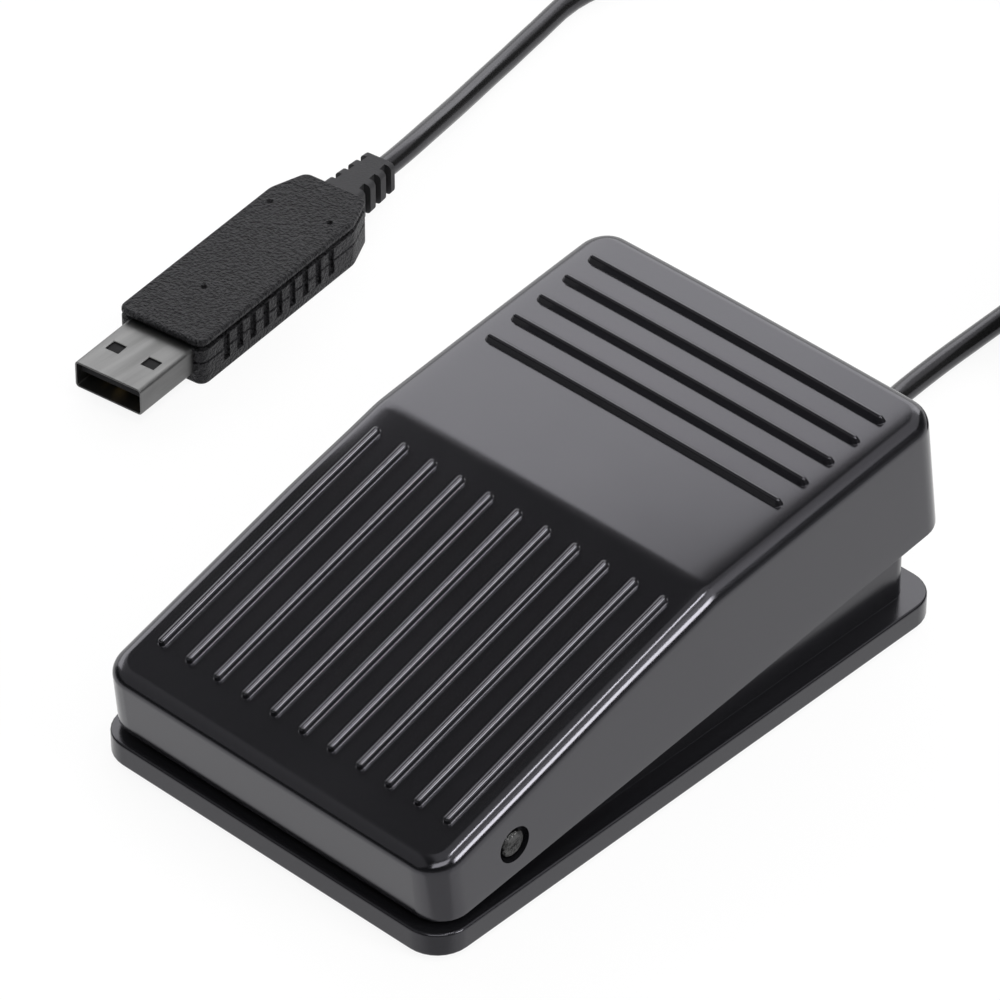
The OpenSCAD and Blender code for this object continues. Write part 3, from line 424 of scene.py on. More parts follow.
def pedalShell():
    # outside: roof, rounded edge, leaning wall; then a rounded lip, the inner wall and the ceiling
    x, y, side = roofGrid()
    away = borderDirections(x, side)
    border = np.column_stack([ringOf(x), ringOf(y)])
    e, lip, inner = pedal["edge"], pedal["lip"], pedal["edge"] - pedal["wall"]
    front = np.clip(-away[:, 1], 0, 1)
    knee, tight = math.radians(pedal["frontKnee"]), pedal["frontTight"]
    wide = (e - tight * (1 - math.sin(knee))) / math.sin(knee)

    def ring(offset, z):
        # the border set out by the offset, and further to the sides the lower it lies under the roof
        plan = border + away * offset
        lean = pedal["draft"] * np.clip((roofHeight(plan[:, 1]) - z) / pedal["height"], 0, 1)
        plan[:, 0] += away[:, 0] * lean
        return lift(plan, z)

    def edgeRing(f):
        # a plain quarter round at the sides and rear; at the front a wide arc to the knee, then a tight one
        first, second = min(f, knee), max(f, knee)
        frontReach = wide * math.sin(first) + tight * (math.sin(second) - math.sin(knee))
        frontFall = wide * (1 - math.cos(first)) + tight * (math.cos(knee) - math.cos(second))
        reach = e * math.sin(f) + front * (frontReach - e * math.sin(f))
        fall = e * (1 - math.cos(f)) + front * (frontFall - e * (1 - math.cos(f)))
        plan = border + away * reach[:, None]
        return ring(reach[:, None], roofHeight(plan[:, 1]) - crownDrop(plan[:, 0], plan[:, 1]) - fall)

    rings = [edgeRing(f) for f in np.radians(np.arange(0, 91, pedal["edgeStep"]))]
    top, low = rings[-1][:, 2], pedalBottom + lip
    rings += [ring(e, top + t * (low - top)) for t in np.linspace(0, 1, 9)[1:]]
    for f in np.radians((30, 60, 90)):
        rings.append(ring(e - lip * (1 - math.cos(f)), pedalBottom + lip * (1 - math.sin(f))))
    for f in np.radians((0, 30, 60, 90)):
        rings.append(ring(inner + lip * (1 - math.sin(f)), pedalBottom + lip * (1 - math.cos(f))))
    ceiling = roofHeight(border[:, 1]) - pedal["top"]
    high = ceiling - pedal["ceilingRound"]
    rings += [ring(inner, low + t * (high - low)) for t in np.linspace(0, 1, 7)[1:]]
    rings.append(lift(border, ceiling))
    roof = np.stack([x, y, roofHeight(y) - crownDrop(x, y)], -1).reshape(-1, 3)
    under = np.stack([x, y, roofHeight(y) - pedal["top"]], -1).reshape(-1, 3)
    quads = gridQuads(*x.shape)
    return joinParts([(roof, quads), stackRings(rings), (under, quads[:, ::-1])])


def beadPatch(r, length, turns=8, runs=12, ends=15):
    # a round crest, straight steep flanks and a filleted root, carried round a line with round ends;
    # the foot goes on a little below the surface that the bead stands on, and is closed there
    steep = math.radians(r["flank"])
    a = np.linspace(0, steep, turns)
    b = a[::-1]
    rounds = r["crest"] + r["fillet"]
    rim = rounds * math.sin(steep) + (r["height"] - rounds * (1 - math.cos(steep))) / math.tan(steep)
    out = np.r_[r["crest"] * np.sin(a), rim - r["fillet"] * np.sin(b), rim]
    up = np.r_[r["height"] - r["crest"] * (1 - np.cos(a)), r["fillet"] * (1 - np.cos(b)), -r["sunk"]]
    run = (np.arange(runs) + 0.5) / runs
    t = np.radians(np.r_[np.full(runs, -90), np.linspace(-90, 90, ends), np.full(runs, 90)])
    spine = np.r_[run, np.ones(ends), run[::-1]] * (length / 2 - r["crest"])
    x = spine + np.cos(t) * out[:, None]
    y = np.sin(t) * out[:, None]
    x, y = np.c_[x, -x[:, ::-1]], np.c_[y, y[:, ::-1]]
    z = np.repeat(up[:, None], x.shape[1], 1)
    return outward(stackRings(np.stack([x, y, z], -1), capEnd=True))


def pedalRibs():
    # long beads lie along the slope, cross beads across the level part, and both follow the crown
    r = longRibs
    longX = np.linspace(-1, 1, r["count"]) * (sideHalf - r["side"])
    length = (pedal["fold"] - r["front"]) / math.cos(slopeAngle) - r["gap"]
    bead, quads = beadPatch(r, length)
    along = np.column_stack([-bead[:, 1], bead[:, 0] - r["gap"] - length / 2, bead[:, 2]])
    along = turnX(along, slopeAngle) + [0, foldPlace, pedalRoof]
    parts = [(along + [x, 0, 0], quads) for x in longX]
    r = crossRibs
    bead, quads = beadPatch(r, 2 * (sideHalf - r["side"]))
    places = pedalRear - r["gap"] - r["pitch"] * np.arange(r["count"])
    parts += [(bead + [0, y, pedalRoof], quads) for y in places]
    return [(p - crownDrop(p[:, :1], p[:, 1:2]) * [0, 0, 1], quads) for p, quads in parts]


def pedalFittings():
    # hinge bosses round the pin, the nose that works the switch lever, and a boss inside the spring
    i = pedalInside
    start, end = i["bossStart"], sideHalf - i["bossEnd"]
    bore, body = pedal["pinBore"] / 2, i["bossDiameter"] / 2
    tube = np.array([(start, bore), (start, body), (end, body), (end, bore), (start, bore)])
    parts = [outward(stackRings(spinX(tube * [s, 1], pinLine))) for s in (-1, 1)]
    r = i["noseRadius"]
    t = np.radians(np.linspace(-90, 0, 8))
    right = np.r_[np.column_stack([r * np.cos(t), r * np.sin(t)]), [[r, i["noseTop"]]]]
    section = np.r_[right, right[::-1] * [-1, 1]]
    middle = np.array(i["nose"]) + [0, baseMiddle, underside]
    ends = (-i["noseHalf"], i["noseHalf"])
    rings = [np.column_stack([np.full(len(section), x), section]) + middle for x in ends]
    parts.append(solid(rings))
    levels = [(i["springTip"], pedalRoof - i["springLow"]), (i["springRadius"], pedalRoof - i["springTaper"]),
              (i["springRadius"], pedalRoof - i["springHigh"])]
    parts.append(stackLoops(circleLoop(24), [0, baseMiddle + i["springBoss"]], levels))
    return parts


def cutPedal(shell):
    # the pin's windows and bores, and the notch over the cable, are taken out of the shell
    wallAt = sideHalf - pedal["draft"] * (pin[2] - pedalBottom) / pedal["height"]
    seat = wallAt - pedal["windowDepth"]
    bore, window = pedal["pinBore"] / 2, pedal["pinWindow"] / 2
    start, end = pedal["cutX"]
    point = 1e-4  # the axis, kept just open
    profile = np.array([(start, point), (start, bore), (seat, bore), (seat, window), (end, window),
                        (end, point)])
    cutters = [solid(spinX(profile * [s, 1], pinLine, 48)) for s in (-1, 1)]
    half, high = pedal["cableNotch"]
    reach = pedal["notchReach"]
    low = (-half, pedalRear - reach, pedal["notchLow"])
    cutters.append(roundedBox(low, (half, pedalRear + reach, high + underside), pedal["notchRound"]))
    cutAway(shell, joinParts(cutters))


def buildPedal():
    # the cut shell and the closed fittings in one mesh, tipped to rest
    shell = addMesh("pedalCover", outward(pedalShell()))
    cutPedal(shell)
    extras = addMesh("pedalExtras", joinParts(pedalRibs() + pedalFittings()))
    work = bmesh.new()
    work.from_mesh(shell.data)
    work.from_mesh(extras.data)
    mesh = bpy.data.meshes.new("pedalCover")
    work.to_mesh(mesh)
    work.free()
    bpy.data.objects.remove(extras)
    tip = Matrix.Translation(pinPlace) @ Matrix.Rotation(restTilt, 4, "X") @ Matrix.Translation(-pinPlace)
    mesh.transform(tip)
    mesh.shade_smooth()
    mesh.set_sharp_from_angle(angle=math.radians(sharpAngle))
    shell.data = mesh
    weightNormals(shell, 50)  # a stronger lean would break up the highlight on the edge
    return settle(shell, "pedal", "pedal_plastic", "pedal_cover")


pedalObject = buildPedal()
print("pedal built:", len(pedalObject.data.polygons), "faces")


# base: a plate with a rounded rim and an upstand that rises towards the rear
base = dict(corner=5.3, rim=3.8, floor=2.2, edge=0.4, lowEdge=0.5, underInset=2, upstandSide=3.4,
            upstandFront=5.0, upstandRear=3.2, upstandCorner=3.0, upstandWall=1.8, frontHigh=9.0,
            rearHigh=17.0, root=0.08, upstandEdge=0.4)
baseInside = dict(foot=1.5, edge=0.4, ear=(24.6, 28.5), earRadius=4.5, earEdge=0.3, blockWide=3.8,
                  blockHalf=4.4, bracket=((17.2, -9, 1.5), (20.2, 10.8, 14.6)),
                  pad=((-9, 36.5, 1.5), (9, 42.5, 7.3)), post=24, postRadius=4.1, postTop=7.1)


def baseTray():
    # one profile of rings: under edge, side, rim, ledge, upstand, its top, its inside and the tray floor
    b = base
    rim = underside + b["rim"]
    standFront, standRear = baseFront + b["upstandFront"], baseRear - b["upstandRear"]
    outer, outerAway = roundedLoop(baseHalf, baseFront, baseRear, b["corner"])
    stand, standAway = roundedLoop(baseHalf - b["upstandSide"], standFront, standRear, b["upstandCorner"])
    inside = stand - standAway * b["upstandWall"]
    rise = (stand[:, 1] - standFront) / (standRear - standFront)
    standTop = underside + b["frontHigh"] + rise * (b["rearHigh"] - b["frontHigh"])
    low, edge, root, e = b["lowEdge"], b["edge"], b["root"], b["upstandEdge"]
    rings = [lift(outer - outerAway * b["underInset"], underside)]
    rings += quarterRings(outer, outerAway, -low, underside, low)
    rings += quarterRings(outer, outerAway, -edge, rim, -edge)[::-1]
    rings += quarterRings(stand, standAway, root, rim, root)
    rings += quarterRings(stand, standAway, -e, standTop, -e)[::-1]
    rings += quarterRings(inside, standAway, e, standTop, -e)
    rings += [lift(inside, underside + b["floor"])]
    return solid(rings)


def baseFittings():
    # ears for the pin with blocks under them, the switch's bracket, the clamp's pad and the spring's post
    i = baseInside
    foot, edge = underside + i["foot"], i["edge"]
    start, end = i["ear"]
    r, e, half = i["earRadius"], i["earEdge"], i["blockHalf"]
    point = 0.01  # the axis, kept just open
    ear = np.array([(start, point), (start, r - e), (start + e, r), (end - e, r), (end, r - e), (end, point)])
    parts = []
    for s in (-1, 1):
        parts.append(solid(spinX(ear * [s, 1], pinLine)))
        left, right = sorted((s * start, s * (start + i["blockWide"])))
        parts.append(roundedBox((left, pin[1] - half, foot), (right, pin[1] + half, pin[2]), e))
    seat = np.array([0, baseMiddle, underside])
    parts += [roundedBox(seat + low, seat + high, edge) for low, high in (i["bracket"], i["pad"])]
    wide, top = i["postRadius"], underside + i["postTop"]
    levels = [(wide, foot), (wide, top - edge), (wide - edge, top)]
    parts.append(stackLoops(circleLoop(32), [0, baseMiddle + i["post"]], levels))
    return parts


baseObject = addMesh("baseTray", joinParts([baseTray()] + baseFittings()))
weightNormals(baseObject)
settle(baseObject, "base", "base_plastic", "base_tray")
print("base built:", len(baseObject.data.polygons), "faces")


# inside the base: the return spring and the two leads that run round it to the switch
spring = dict(wire=1.2, turns=9, closeRate=1.25, closeTurns=0.7, easeTurns=0.6, perTurn=36, sides=10,
              pressed=0.785)
leads = dict(diameter=1.3, sides=12, step=0.8,
             red=((-0.9, 34.47, 8.2), (-0.9, 33.17, 8.2), (0.54, 31.28, 7.76), (4.03, 29.52, 7.32),
                  (7.32, 26.44, 6.88), (9.06, 21.49, 6.44), (9.37, 14.32, 6), (9.37, 5.17, 6),
                  (9.37, -3.37, 6), (10.63, -7.03, 6), (12.45, -7.03, 6), (13.75, -7.03, 6)),
             black=((0.9, 34.47, 8.2), (0.9, 33.17, 8.2), (2.4, 32.08, 7.76), (6.03, 30.76, 7.32),
                    (9.44, 28.45, 6.88), (11.26, 24.74, 6.44), (11.58, 19.15, 6), (11.58, 14.83, 6),
                    (11.58, 10.8, 6), (12.45, 7.77, 6), (13.75, 7.77, 6)))


def springPath(s):
    # a helix whose first and last turns lie close together, with the climb opened evenly between them
    low, high = boxOf("return_spring")
    u = np.linspace(0, s["turns"], s["turns"] * s["perTurn"] + 1)
    opened = smoothStep((np.minimum(u, s["turns"] - u) - s["closeTurns"]) / s["easeTurns"])
    rise = high[2] - low[2] - s["wire"]
    rate = s["closeRate"] + opened * (rise - s["closeRate"] * s["turns"]) / (opened.sum() * u[1])
    climb = np.r_[0, np.cumsum((rate[1:] + rate[:-1]) / 2 * np.diff(u))]
    reach = (high[0] - low[0] - s["wire"]) / 2
    x, y = ((low + high) / 2)[:2]
    angle = 2 * np.pi * u
    return np.column_stack([x + reach * np.cos(angle), y + reach * np.sin(angle),
                            low[2] + s["wire"] / 2 + climb])


springObject = addMesh("returnSpring", sweepCircle(springPath(spring), spring["wire"] / 2, spring["sides"]))
settle(springObject, "base", "spring_steel", "return_spring")
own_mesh(springObject)
for colour in ("red", "black"):
    path = smoothPath(leads[colour], leads["step"])
    lead = addMesh(colour + "Lead", sweepCircle(path, leads["diameter"] / 2, leads["sides"]))
    settle(lead, "base", colour + "_insulation", "lead_" + colour)
print("spring and leads placed")


# tie: a strip with hooks and loops that goes round the bundle and laps over itself
tie = dict(thick=0.38, layer=0.39, slack=0.01, corner=1.7, edge=0.14, lap=0.42, step=0.5, riseBefore=4,
           riseLong=3)


def tiePart(t):
    # a flat section carried round a rounded rectangle, a layer further out where the strip meets its start
    low, high = boxOf("coil_tie")
    middle, half = (low + high) / 2, (high - low) / 2
    inset = t["thick"] / 2 + t["layer"] + t["slack"]
    loop, away = roundedLoop(half[0] - inset, inset - half[2], half[2] - inset, t["corner"])
    closed = np.r_[0:len(loop), 0]
    length = np.r_[0, np.cumsum(np.linalg.norm(np.diff(loop[closed], axis=0), axis=1))]
    walk = np.arange(0, length[-1] * (1 + t["lap"]), t["step"])
    columns = np.column_stack([loop, away])[closed].T
    x, z, awayX, awayZ = (np.interp(walk % length[-1], length, column)[:, None] for column in columns)
    size = np.hypot(awayX, awayZ)
    out = t["layer"] * smoothStep((walk - length[-1] + t["riseBefore"]) / t["riseLong"])
    section = roundedLoop(half[1], -t["thick"] / 2, t["thick"] / 2, t["edge"], 2)[0]
    reach = out[:, None] + section[:, 1]
    rings = np.stack([x + awayX / size * reach, np.broadcast_to(section[:, 0], reach.shape),
                      z + awayZ / size * reach], -1)
    points, quads = solid(rings)
    return points + middle, quads


tieObject = settle(addMesh("coilTie", tiePart(tie)), "base", "tie_strip", "coil_tie")
print("coil tied")


# plug: two moulded halves, a boot and a folded metal shell, drawn in line and then laid on the floor
metalShell = dict(width=12, height=4.5, outside=12, inside=5, sheet=0.3, corner=0.6, window=(2.3, 2.0),
                  windowX=3.2, rim=0.14, rimAngle=50, sharp=60)


def plugOutline():
    # right half from front to rear with two points at each notch side, then its mirror image
    p = plug
    half, r = p["width"] / 2, p["frontRound"]
    a = np.radians(np.linspace(-90, 0, 7))
    arc = np.column_stack([half - r + r * np.cos(a), r + r * np.sin(a)])
    starts = p["notchFirst"] + p["notchPitch"] * np.arange(p["notches"])
    ends = starts + p["notchLong"]
    steps = np.column_stack([starts, starts, ends, ends]).ravel()
    side = np.column_stack([np.full(len(steps), half), steps])
    depth = np.tile([0, p["notchDeep"], p["notchDeep"], 0], p["notches"])
    lean = math.atan2((p["width"] - p["endWidth"]) / 2, p["taper"])
    b = np.linspace(0, lean, 6)
    bend = np.column_stack([half - p["bendRound"] * (1 - np.cos(b)),
                            p["length"] - p["taper"] + p["bendRound"] * (np.sin(b) - math.tan(lean / 2))])
    c, q = np.linspace(lean, np.pi / 2, 6), p["tailRound"]
    tail = np.column_stack([p["endWidth"] / 2 + q * math.tan(lean) - q / math.cos(lean) + q * np.cos(c),
                            p["length"] - q + q * np.sin(c)])
    right = np.r_[arc, side, bend, tail]
    cut = np.r_[np.zeros(len(arc)), depth, np.zeros(len(bend) + len(tail))]
    turn = np.r_[b, c]
    away = np.r_[np.column_stack([np.cos(a), np.sin(a)]), np.tile([1.0, 0], (len(side), 1)),
                 np.column_stack([np.cos(turn), np.sin(turn)])]
    flip = np.array([-1, 1])
    return np.r_[right, right[::-1] * flip], np.r_[cut, cut[::-1]], np.r_[away, away[::-1] * flip]


def plugHalf(sign):
    # a hollow, the seam face, a notched skirt, a groove in the upper half, a rounded rim and a flat top
    p = plug
    loop, cut, away = plugOutline()
    notched = loop - np.column_stack([np.sign(loop[:, 0]) * cut, np.zeros(len(cut))])
    half, seam = p["height"] / 2, p["seam"] / 2
    room = np.column_stack([np.clip(loop[:, 0], -p["cavity"], p["cavity"]),
                            np.clip(loop[:, 1], p["wall"], p["length"] - p["cavityRear"])])
    rings = [lift(room, half - p["wall"]), lift(room, seam), lift(notched - away * p["seamEdge"], seam),
             lift(notched, seam + p["seamEdge"]), lift(notched, p["notchHigh"]),
             lift(loop, p["notchHigh"] + p["notchEdge"])]
    if sign > 0:
        sunk, step = loop - away * p["grooveDeep"], p["grooveEdge"]
        rings += [lift(loop, p["grooveLow"]), lift(sunk, p["grooveLow"] + step),
                  lift(sunk, p["grooveHigh"] - step), lift(loop, p["grooveHigh"])]
    rings += quarterRings(loop, away, -p["edge"], half, -p["edge"])[::-1]
    points, quads = solid(rings)
    return onFloor(points * [1, 1, sign]), quads if sign > 0 else quads[:, ::-1]


def dimpleCutters():
    # short blunt cones that leave the ejector marks in the plug's top
    r, top = plug["dimpleRadius"], plug["height"] / 2
    levels = [(0.5 * r, top - plug["dimpleDeep"]), (r, top), (1.3 * r, top + plug["dimpleClear"])]
    points, quads = joinParts([stackLoops(circleLoop(16), place, levels) for place in plug["dimples"]])
    return onFloor(points), quads


def bootPart():
    # a tapered rounded bar whose sides step in at each slot
    b = boot
    begins = b["slotFirst"] + b["slotPitch"] * np.arange(b["slots"])
    ends = begins + b["slotLong"]
    edges = np.column_stack([begins, begins + b["slotEdge"], ends, ends + b["slotEdge"]]).ravel()
    along = np.r_[-b["sunk"], 0, edges, b["length"] - b["endRound"], b["length"]]
    deep = np.r_[0, 0, np.tile([0, b["slotDeep"], b["slotDeep"], 0], b["slots"]), 0, 0]
    close = np.r_[np.zeros(len(along) - 1), b["endRound"]]
    rings = []
    for y, d, c in zip(along, deep, close):
        half = (b["width"] + (b["endWidth"] - b["width"]) * max(y, 0) / b["length"]) / 2
        loop = roundedLoop(half - c, c - b["height"] / 2, b["height"] / 2 - c, b["round"], 5)[0]
        x = np.clip(loop[:, 0], d - half, half - d)
        rings.append(np.column_stack([x, np.full(len(loop), plug["length"] + y), loop[:, 1]]))
    points, quads = solid(rings)
    return onFloor(points), quads


def shellSheet():
    # a folded sheet tube: points round its section by stations along it, with the windows' faces left out
    m = metalShell
    half, high, r = m["width"] / 2, m["height"] / 2, m["corner"]
    wide, long = np.array(m["window"]) / 2
    a = np.radians(np.linspace(0, 90, 6))
    bend = np.column_stack([half - r + r * np.sin(a), high - r + r * np.cos(a)])
    quarter = np.r_[[[m["windowX"] - wide, high], [m["windowX"] + wide, high]], bend]
    right = np.r_[quarter, quarter[::-1] * [1, -1]]
    section = np.r_[right, right[::-1] * [-1, 1]]
    middle = -m["outside"] / 2
    stations = (-m["outside"], middle - long, middle + long, 0, m["inside"])
    rings = [np.column_stack([section[:, 0], np.full(len(section), y), section[:, 1]]) for y in stations]
    points, quads = stackRings(rings)
    x, y, z = np.abs(points[quads].mean(1) - [0, middle, 0]).T
    inWindow = (y < long) & (np.abs(x - m["windowX"]) < wide * 0.9) & (np.abs(z - high) < 1e-6)
    quads = quads[~inWindow]
    a, b, d = (points[quads[:, k]] for k in (0, 1, 3))
    inwardFaces = np.sum(np.cross(b - a, d - a) * (points[quads].mean(1) * [1, 0, 1])) < 0
    return onFloor(points), quads[:, ::-1] if inwardFaces else quads


upperObject = settle(addMesh("plugUpper", plugHalf(1)), "base", "plug_plastic", "plug_upper")
cutAway(upperObject, dimpleCutters())
upperObject.data.set_sharp_from_angle(angle=math.radians(sharpAngle))
lowerObject = settle(addMesh("plugLower", plugHalf(-1)), "base", "plug_plastic", "plug_lower")
bootObject = settle(addMesh("plugBoot", bootPart()), "base", "soft_rubber", "plug_boot")
shellObject = addMesh("usbShell", shellSheet(), metalShell["sharp"])
sheet = shellObject.modifiers.new("sheet", "SOLIDIFY")
sheet.thickness = metalShell["sheet"] * mm
sheet.offset = -1
rim = shellObject.modifiers.new("rim", "BEVEL")
rim.width = metalShell["rim"] * mm
rim.segments = 2
rim.limit_method = "ANGLE"
rim.angle_limit = math.radians(metalShell["rimAngle"])
settle(shellObject, "base", "shell_steel", "usb_shell")
for piece in (upperObject, lowerObject, bootObject, shellObject):
    weightNormals(piece)
print("plug built")


# shader groups: each puts out values that change over the surface
mouldedInputs = ("Color", "Roughness", "Grain Scale", "Grain Depth", "Cloud", "Speck")
brushedInputs = ("Color", "Roughness", "Line Scale", "Line Depth")
socketKinds = dict(Color="NodeSocketColor", Normal="NodeSocketVector")
pattern = dict(grainBump=0.0002, cloudScale=60, lineBump=0.0001, lineStretch=0.06, lineWander=0.3,
               lineTone=0.7, mottleScale=260, darkMetal=(0.02, 0.02, 0.02, 1))


def newGroup(name, inputs):
    # an empty group, the values that go into it and the node that they leave by
    group = bpy.data.node_groups.new(name, "ShaderNodeTree")
    for way, labels in (("INPUT", inputs), ("OUTPUT", ("Color", "Roughness", "Normal"))):
        for label in labels:
            kind = socketKinds.get(label, "NodeSocketFloat")
            group.interface.new_socket(label, in_out=way, socket_type=kind)
    return group, group.nodes.new("NodeGroupInput").outputs, group.nodes.new("NodeGroupOutput")


def feed(tree, node, values):
    # each socket, by its label or number, takes a link from another socket or a constant
    for label, value in values.items():
        if hasattr(value, "is_linked"):
            tree.links.new(value, node.inputs[label])
        else:
            node.inputs[label].default_value = value


def addNode(tree, kind, values):
    node = tree.nodes.new("ShaderNode" + kind)
    feed(tree, node, values)
    return node


def noiseNode(tree, vector, scale, detail, roughness=0.5):
    values = {"Vector": vector, "Scale": scale, "Detail": detail, "Roughness": roughness}
    return addNode(tree, "TexNoise", values).outputs["Fac"]


def mathNode(tree, operation, first, second):
    # a value worked out from two sockets or numbers
    node = addNode(tree, "Math", {0: first, 1: second})
    node.operation = operation
    return node.outputs[0]


def spreadNode(tree, noise, amount):
    # a noise value taken to both sides of nothing, by the amount
    return mathNode(tree, "MULTIPLY", mathNode(tree, "SUBTRACT", noise, 0.5), amount)


def mouldedGroup():
    # a moulded surface: fine grain for the bump and the specks in the colour, broad clouds for the roughness
    group, given, leave = newGroup("mouldedSurface", mouldedInputs)
    place = addNode(group, "TexCoord", {}).outputs["Object"]
    grain = noiseNode(group, place, given["Grain Scale"], 2.5, 0.55)
    cloud = noiseNode(group, place, pattern["cloudScale"], 4, 0.55)
    depth = mathNode(group, "MULTIPLY", given["Grain Depth"], pattern["grainBump"])
    bump = addNode(group, "Bump", {"Strength": 1.0, "Distance": depth, "Height": grain})
    wander = spreadNode(group, cloud, given["Cloud"])
    speck = spreadNode(group, grain, given["Speck"])
    shade = mathNode(group, "MAXIMUM", mathNode(group, "ADD", speck, 1.0), 0.0)
    level = addNode(group, "CombineColor", {"Red": shade, "Green": shade, "Blue": shade})
    tint = addNode(group, "MixRGB", {"Fac": 1.0, "Color1": given["Color"], "Color2": level.outputs["Color"]})
    tint.blend_type = "MULTIPLY"
    feed(group, leave, {"Color": tint.outputs["Color"], "Normal": bump.outputs["Normal"],
                        "Roughness": mathNode(group, "ADD", given["Roughness"], wander)})
    return group


def brushedGroup():
    # drawn or rolled metal: long fine lines for roughness and bump, and a faint change of tone
    group, given, leave = newGroup("brushedMetal", brushedInputs)
    place = addNode(group, "TexCoord", {}).outputs["Object"]
    drawn = addNode(group, "Mapping", {"Vector": place, "Scale": (1.0, pattern["lineStretch"], 1.0),
                                       "Rotation": (0, 0, math.radians(-plug["turn"]))}).outputs["Vector"]
    lines = noiseNode(group, drawn, given["Line Scale"], 3)
    mottle = noiseNode(group, drawn, pattern["mottleScale"], 4, 0.6)
    bump = addNode(group, "Bump", {"Strength": given["Line Depth"], "Distance": pattern["lineBump"],
                                   "Height": lines})
    mixed = mathNode(group, "MULTIPLY", mathNode(group, "ADD", lines, mottle), 0.5)
    wander = spreadNode(group, mixed, pattern["lineWander"])
    tone = mathNode(group, "MULTIPLY", mixed, pattern["lineTone"])
    tint = addNode(group, "MixRGB", {"Fac": tone, "Color1": given["Color"], "Color2": pattern["darkMetal"]})
    feed(group, leave, {"Color": tint.outputs["Color"], "Normal": bump.outputs["Normal"],
                        "Roughness": mathNode(group, "ADD", given["Roughness"], wander)})
    return group


moulded = mouldedGroup()
brushed = brushedGroup()


def grey(level, cool=0.0):
    return (level, level, level * (1 + cool), 1)


# finishes in the order of the group's inputs, with the plastics' index of refraction after them
plastics = dict(
    pedalPlastic=(grey(0.006, 0.15), 0.16, 1800, 0.006, 0.06, 0.3, 1.63),
    basePlastic=(grey(0.008, 0.15), 0.2, 1800, 0.012, 0.06, 0.3, 1.5),
    plugPlastic=(grey(0.013, 0.05), 0.45, 2100, 5.5, 0.1, 6, 1.32),
    softRubber=(grey(0.018), 0.6, 3000, 0.25, 0.1, 0.4, 1.42),
    cableJacket=(grey(0.009), 0.2, 1500, 0.05, 0.12, 0.3, 1.5),
    switchPlastic=(grey(0.03), 0.5, 2600, 0.2, 0.1, 0.4, 1.5),
    plungerPlastic=((0.62, 0.57, 0.47, 1), 0.45, 2600, 0.1, 0.1, 0.1, 1.5),
    redInsulation=((0.35, 0.015, 0.015, 1), 0.4, 2000, 0.05, 0.1, 0.1, 1.5),
    blackInsulation=(grey(0.018), 0.4, 2000, 0.05, 0.1, 0.1, 1.5),
    tieStrip=(grey(0.015), 0.7, 1600, 0.8, 0.1, 0.6, 1.5),
    tonguePlastic=(grey(0.01), 0.75, 2600, 0.1, 0.1, 0.2, 1.3),
    boardLaminate=((0.02, 0.13, 0.05, 1), 0.35, 1400, 0.1, 0.2, 0.4, 1.5))
drawnMetals = dict(
    springSteel=(grey(0.5), 0.3, 900, 0.1),
    screwSteel=(grey(0.42), 0.35, 700, 0.1),
    shellSteel=(grey(0.225), 0.4, 700, 0.12),
    contactBrass=((0.72, 0.5, 0.18, 1), 0.25, 700, 0.05))
castMetals = dict(pinSteel=(grey(0.06), 0.35, 850, 5, 0.2, 4))
plasticSheen = (0.92, 0.905, 1)  # a faint violet cast in what the plastics reflect


def makeLook(name, group, inputs, finish, metallic=0.0, ior=1.5, sheen=(1, 1, 1)):
    # a material whose Principled shader reads one of the groups
    material = bpy.data.materials.new(name)
    material.use_nodes = True
    tree = material.node_tree
    node = tree.nodes.new("ShaderNodeGroup")
    node.node_tree = group
    feed(tree, node, dict(zip(inputs, finish)))
    values = {"Metallic": metallic, "IOR": ior, "Specular Tint": (*sheen, 1)}
    for label, target in (("Color", "Base Color"), ("Roughness", "Roughness"), ("Normal", "Normal")):
        values[target] = node.outputs[label]
    feed(tree, tree.nodes["Principled BSDF"], values)
    return material


looks = {}
for name, (*finish, ior) in plastics.items():
    looks[name] = makeLook(name, moulded, mouldedInputs, finish, ior=ior, sheen=plasticSheen)
for name, finish in drawnMetals.items():
    looks[name] = makeLook(name, brushed, brushedInputs, finish, metallic=1.0)
for name, finish in castMetals.items():
    looks[name] = makeLook(name, moulded, mouldedInputs, finish, metallic=1.0)

# every node and piece wears the finish that its slot is named after
dressed += [(nodes[entry["node"]], entry["material_slot"]) for entry in frame["record"]["subparts"]]
for obj, slotName in dressed:
    first, second = slotName.split("_")
    obj.data.materials.clear()
    obj.data.materials.append(looks[first + second.capitalize()])
print("finishes set:", len(looks))

# everything that hangs on the cable, gathered in a list
onCable = [upperObject, lowerObject, bootObject, shellObject, tieObject]
onCable += [nodes[n] for n in ("cable_grommet", "usb_tongue", "usb_contact_1", "usb_contact_2",
                               "usb_contact_3", "usb_contact_4", "plug_board", "plug_chip", "plug_crystal")]

# stage: a pale floor that the camera sees as white, with the object's soft shadow
stage = dict(size=12.0, shadow=0.1, paper=0.95, worldLow=0.9, worldHigh=0.08, horizon=(0.03, 0.2),
             farFloor=0.15, near=0.07, far=0.22, farSky=0.2, skyReach=0.5, cornerAhead=(-4.2, -1.2),
             cornerRight=(-4.5, -0.5), cornerLeast=0.65, lampDistance=3.0)


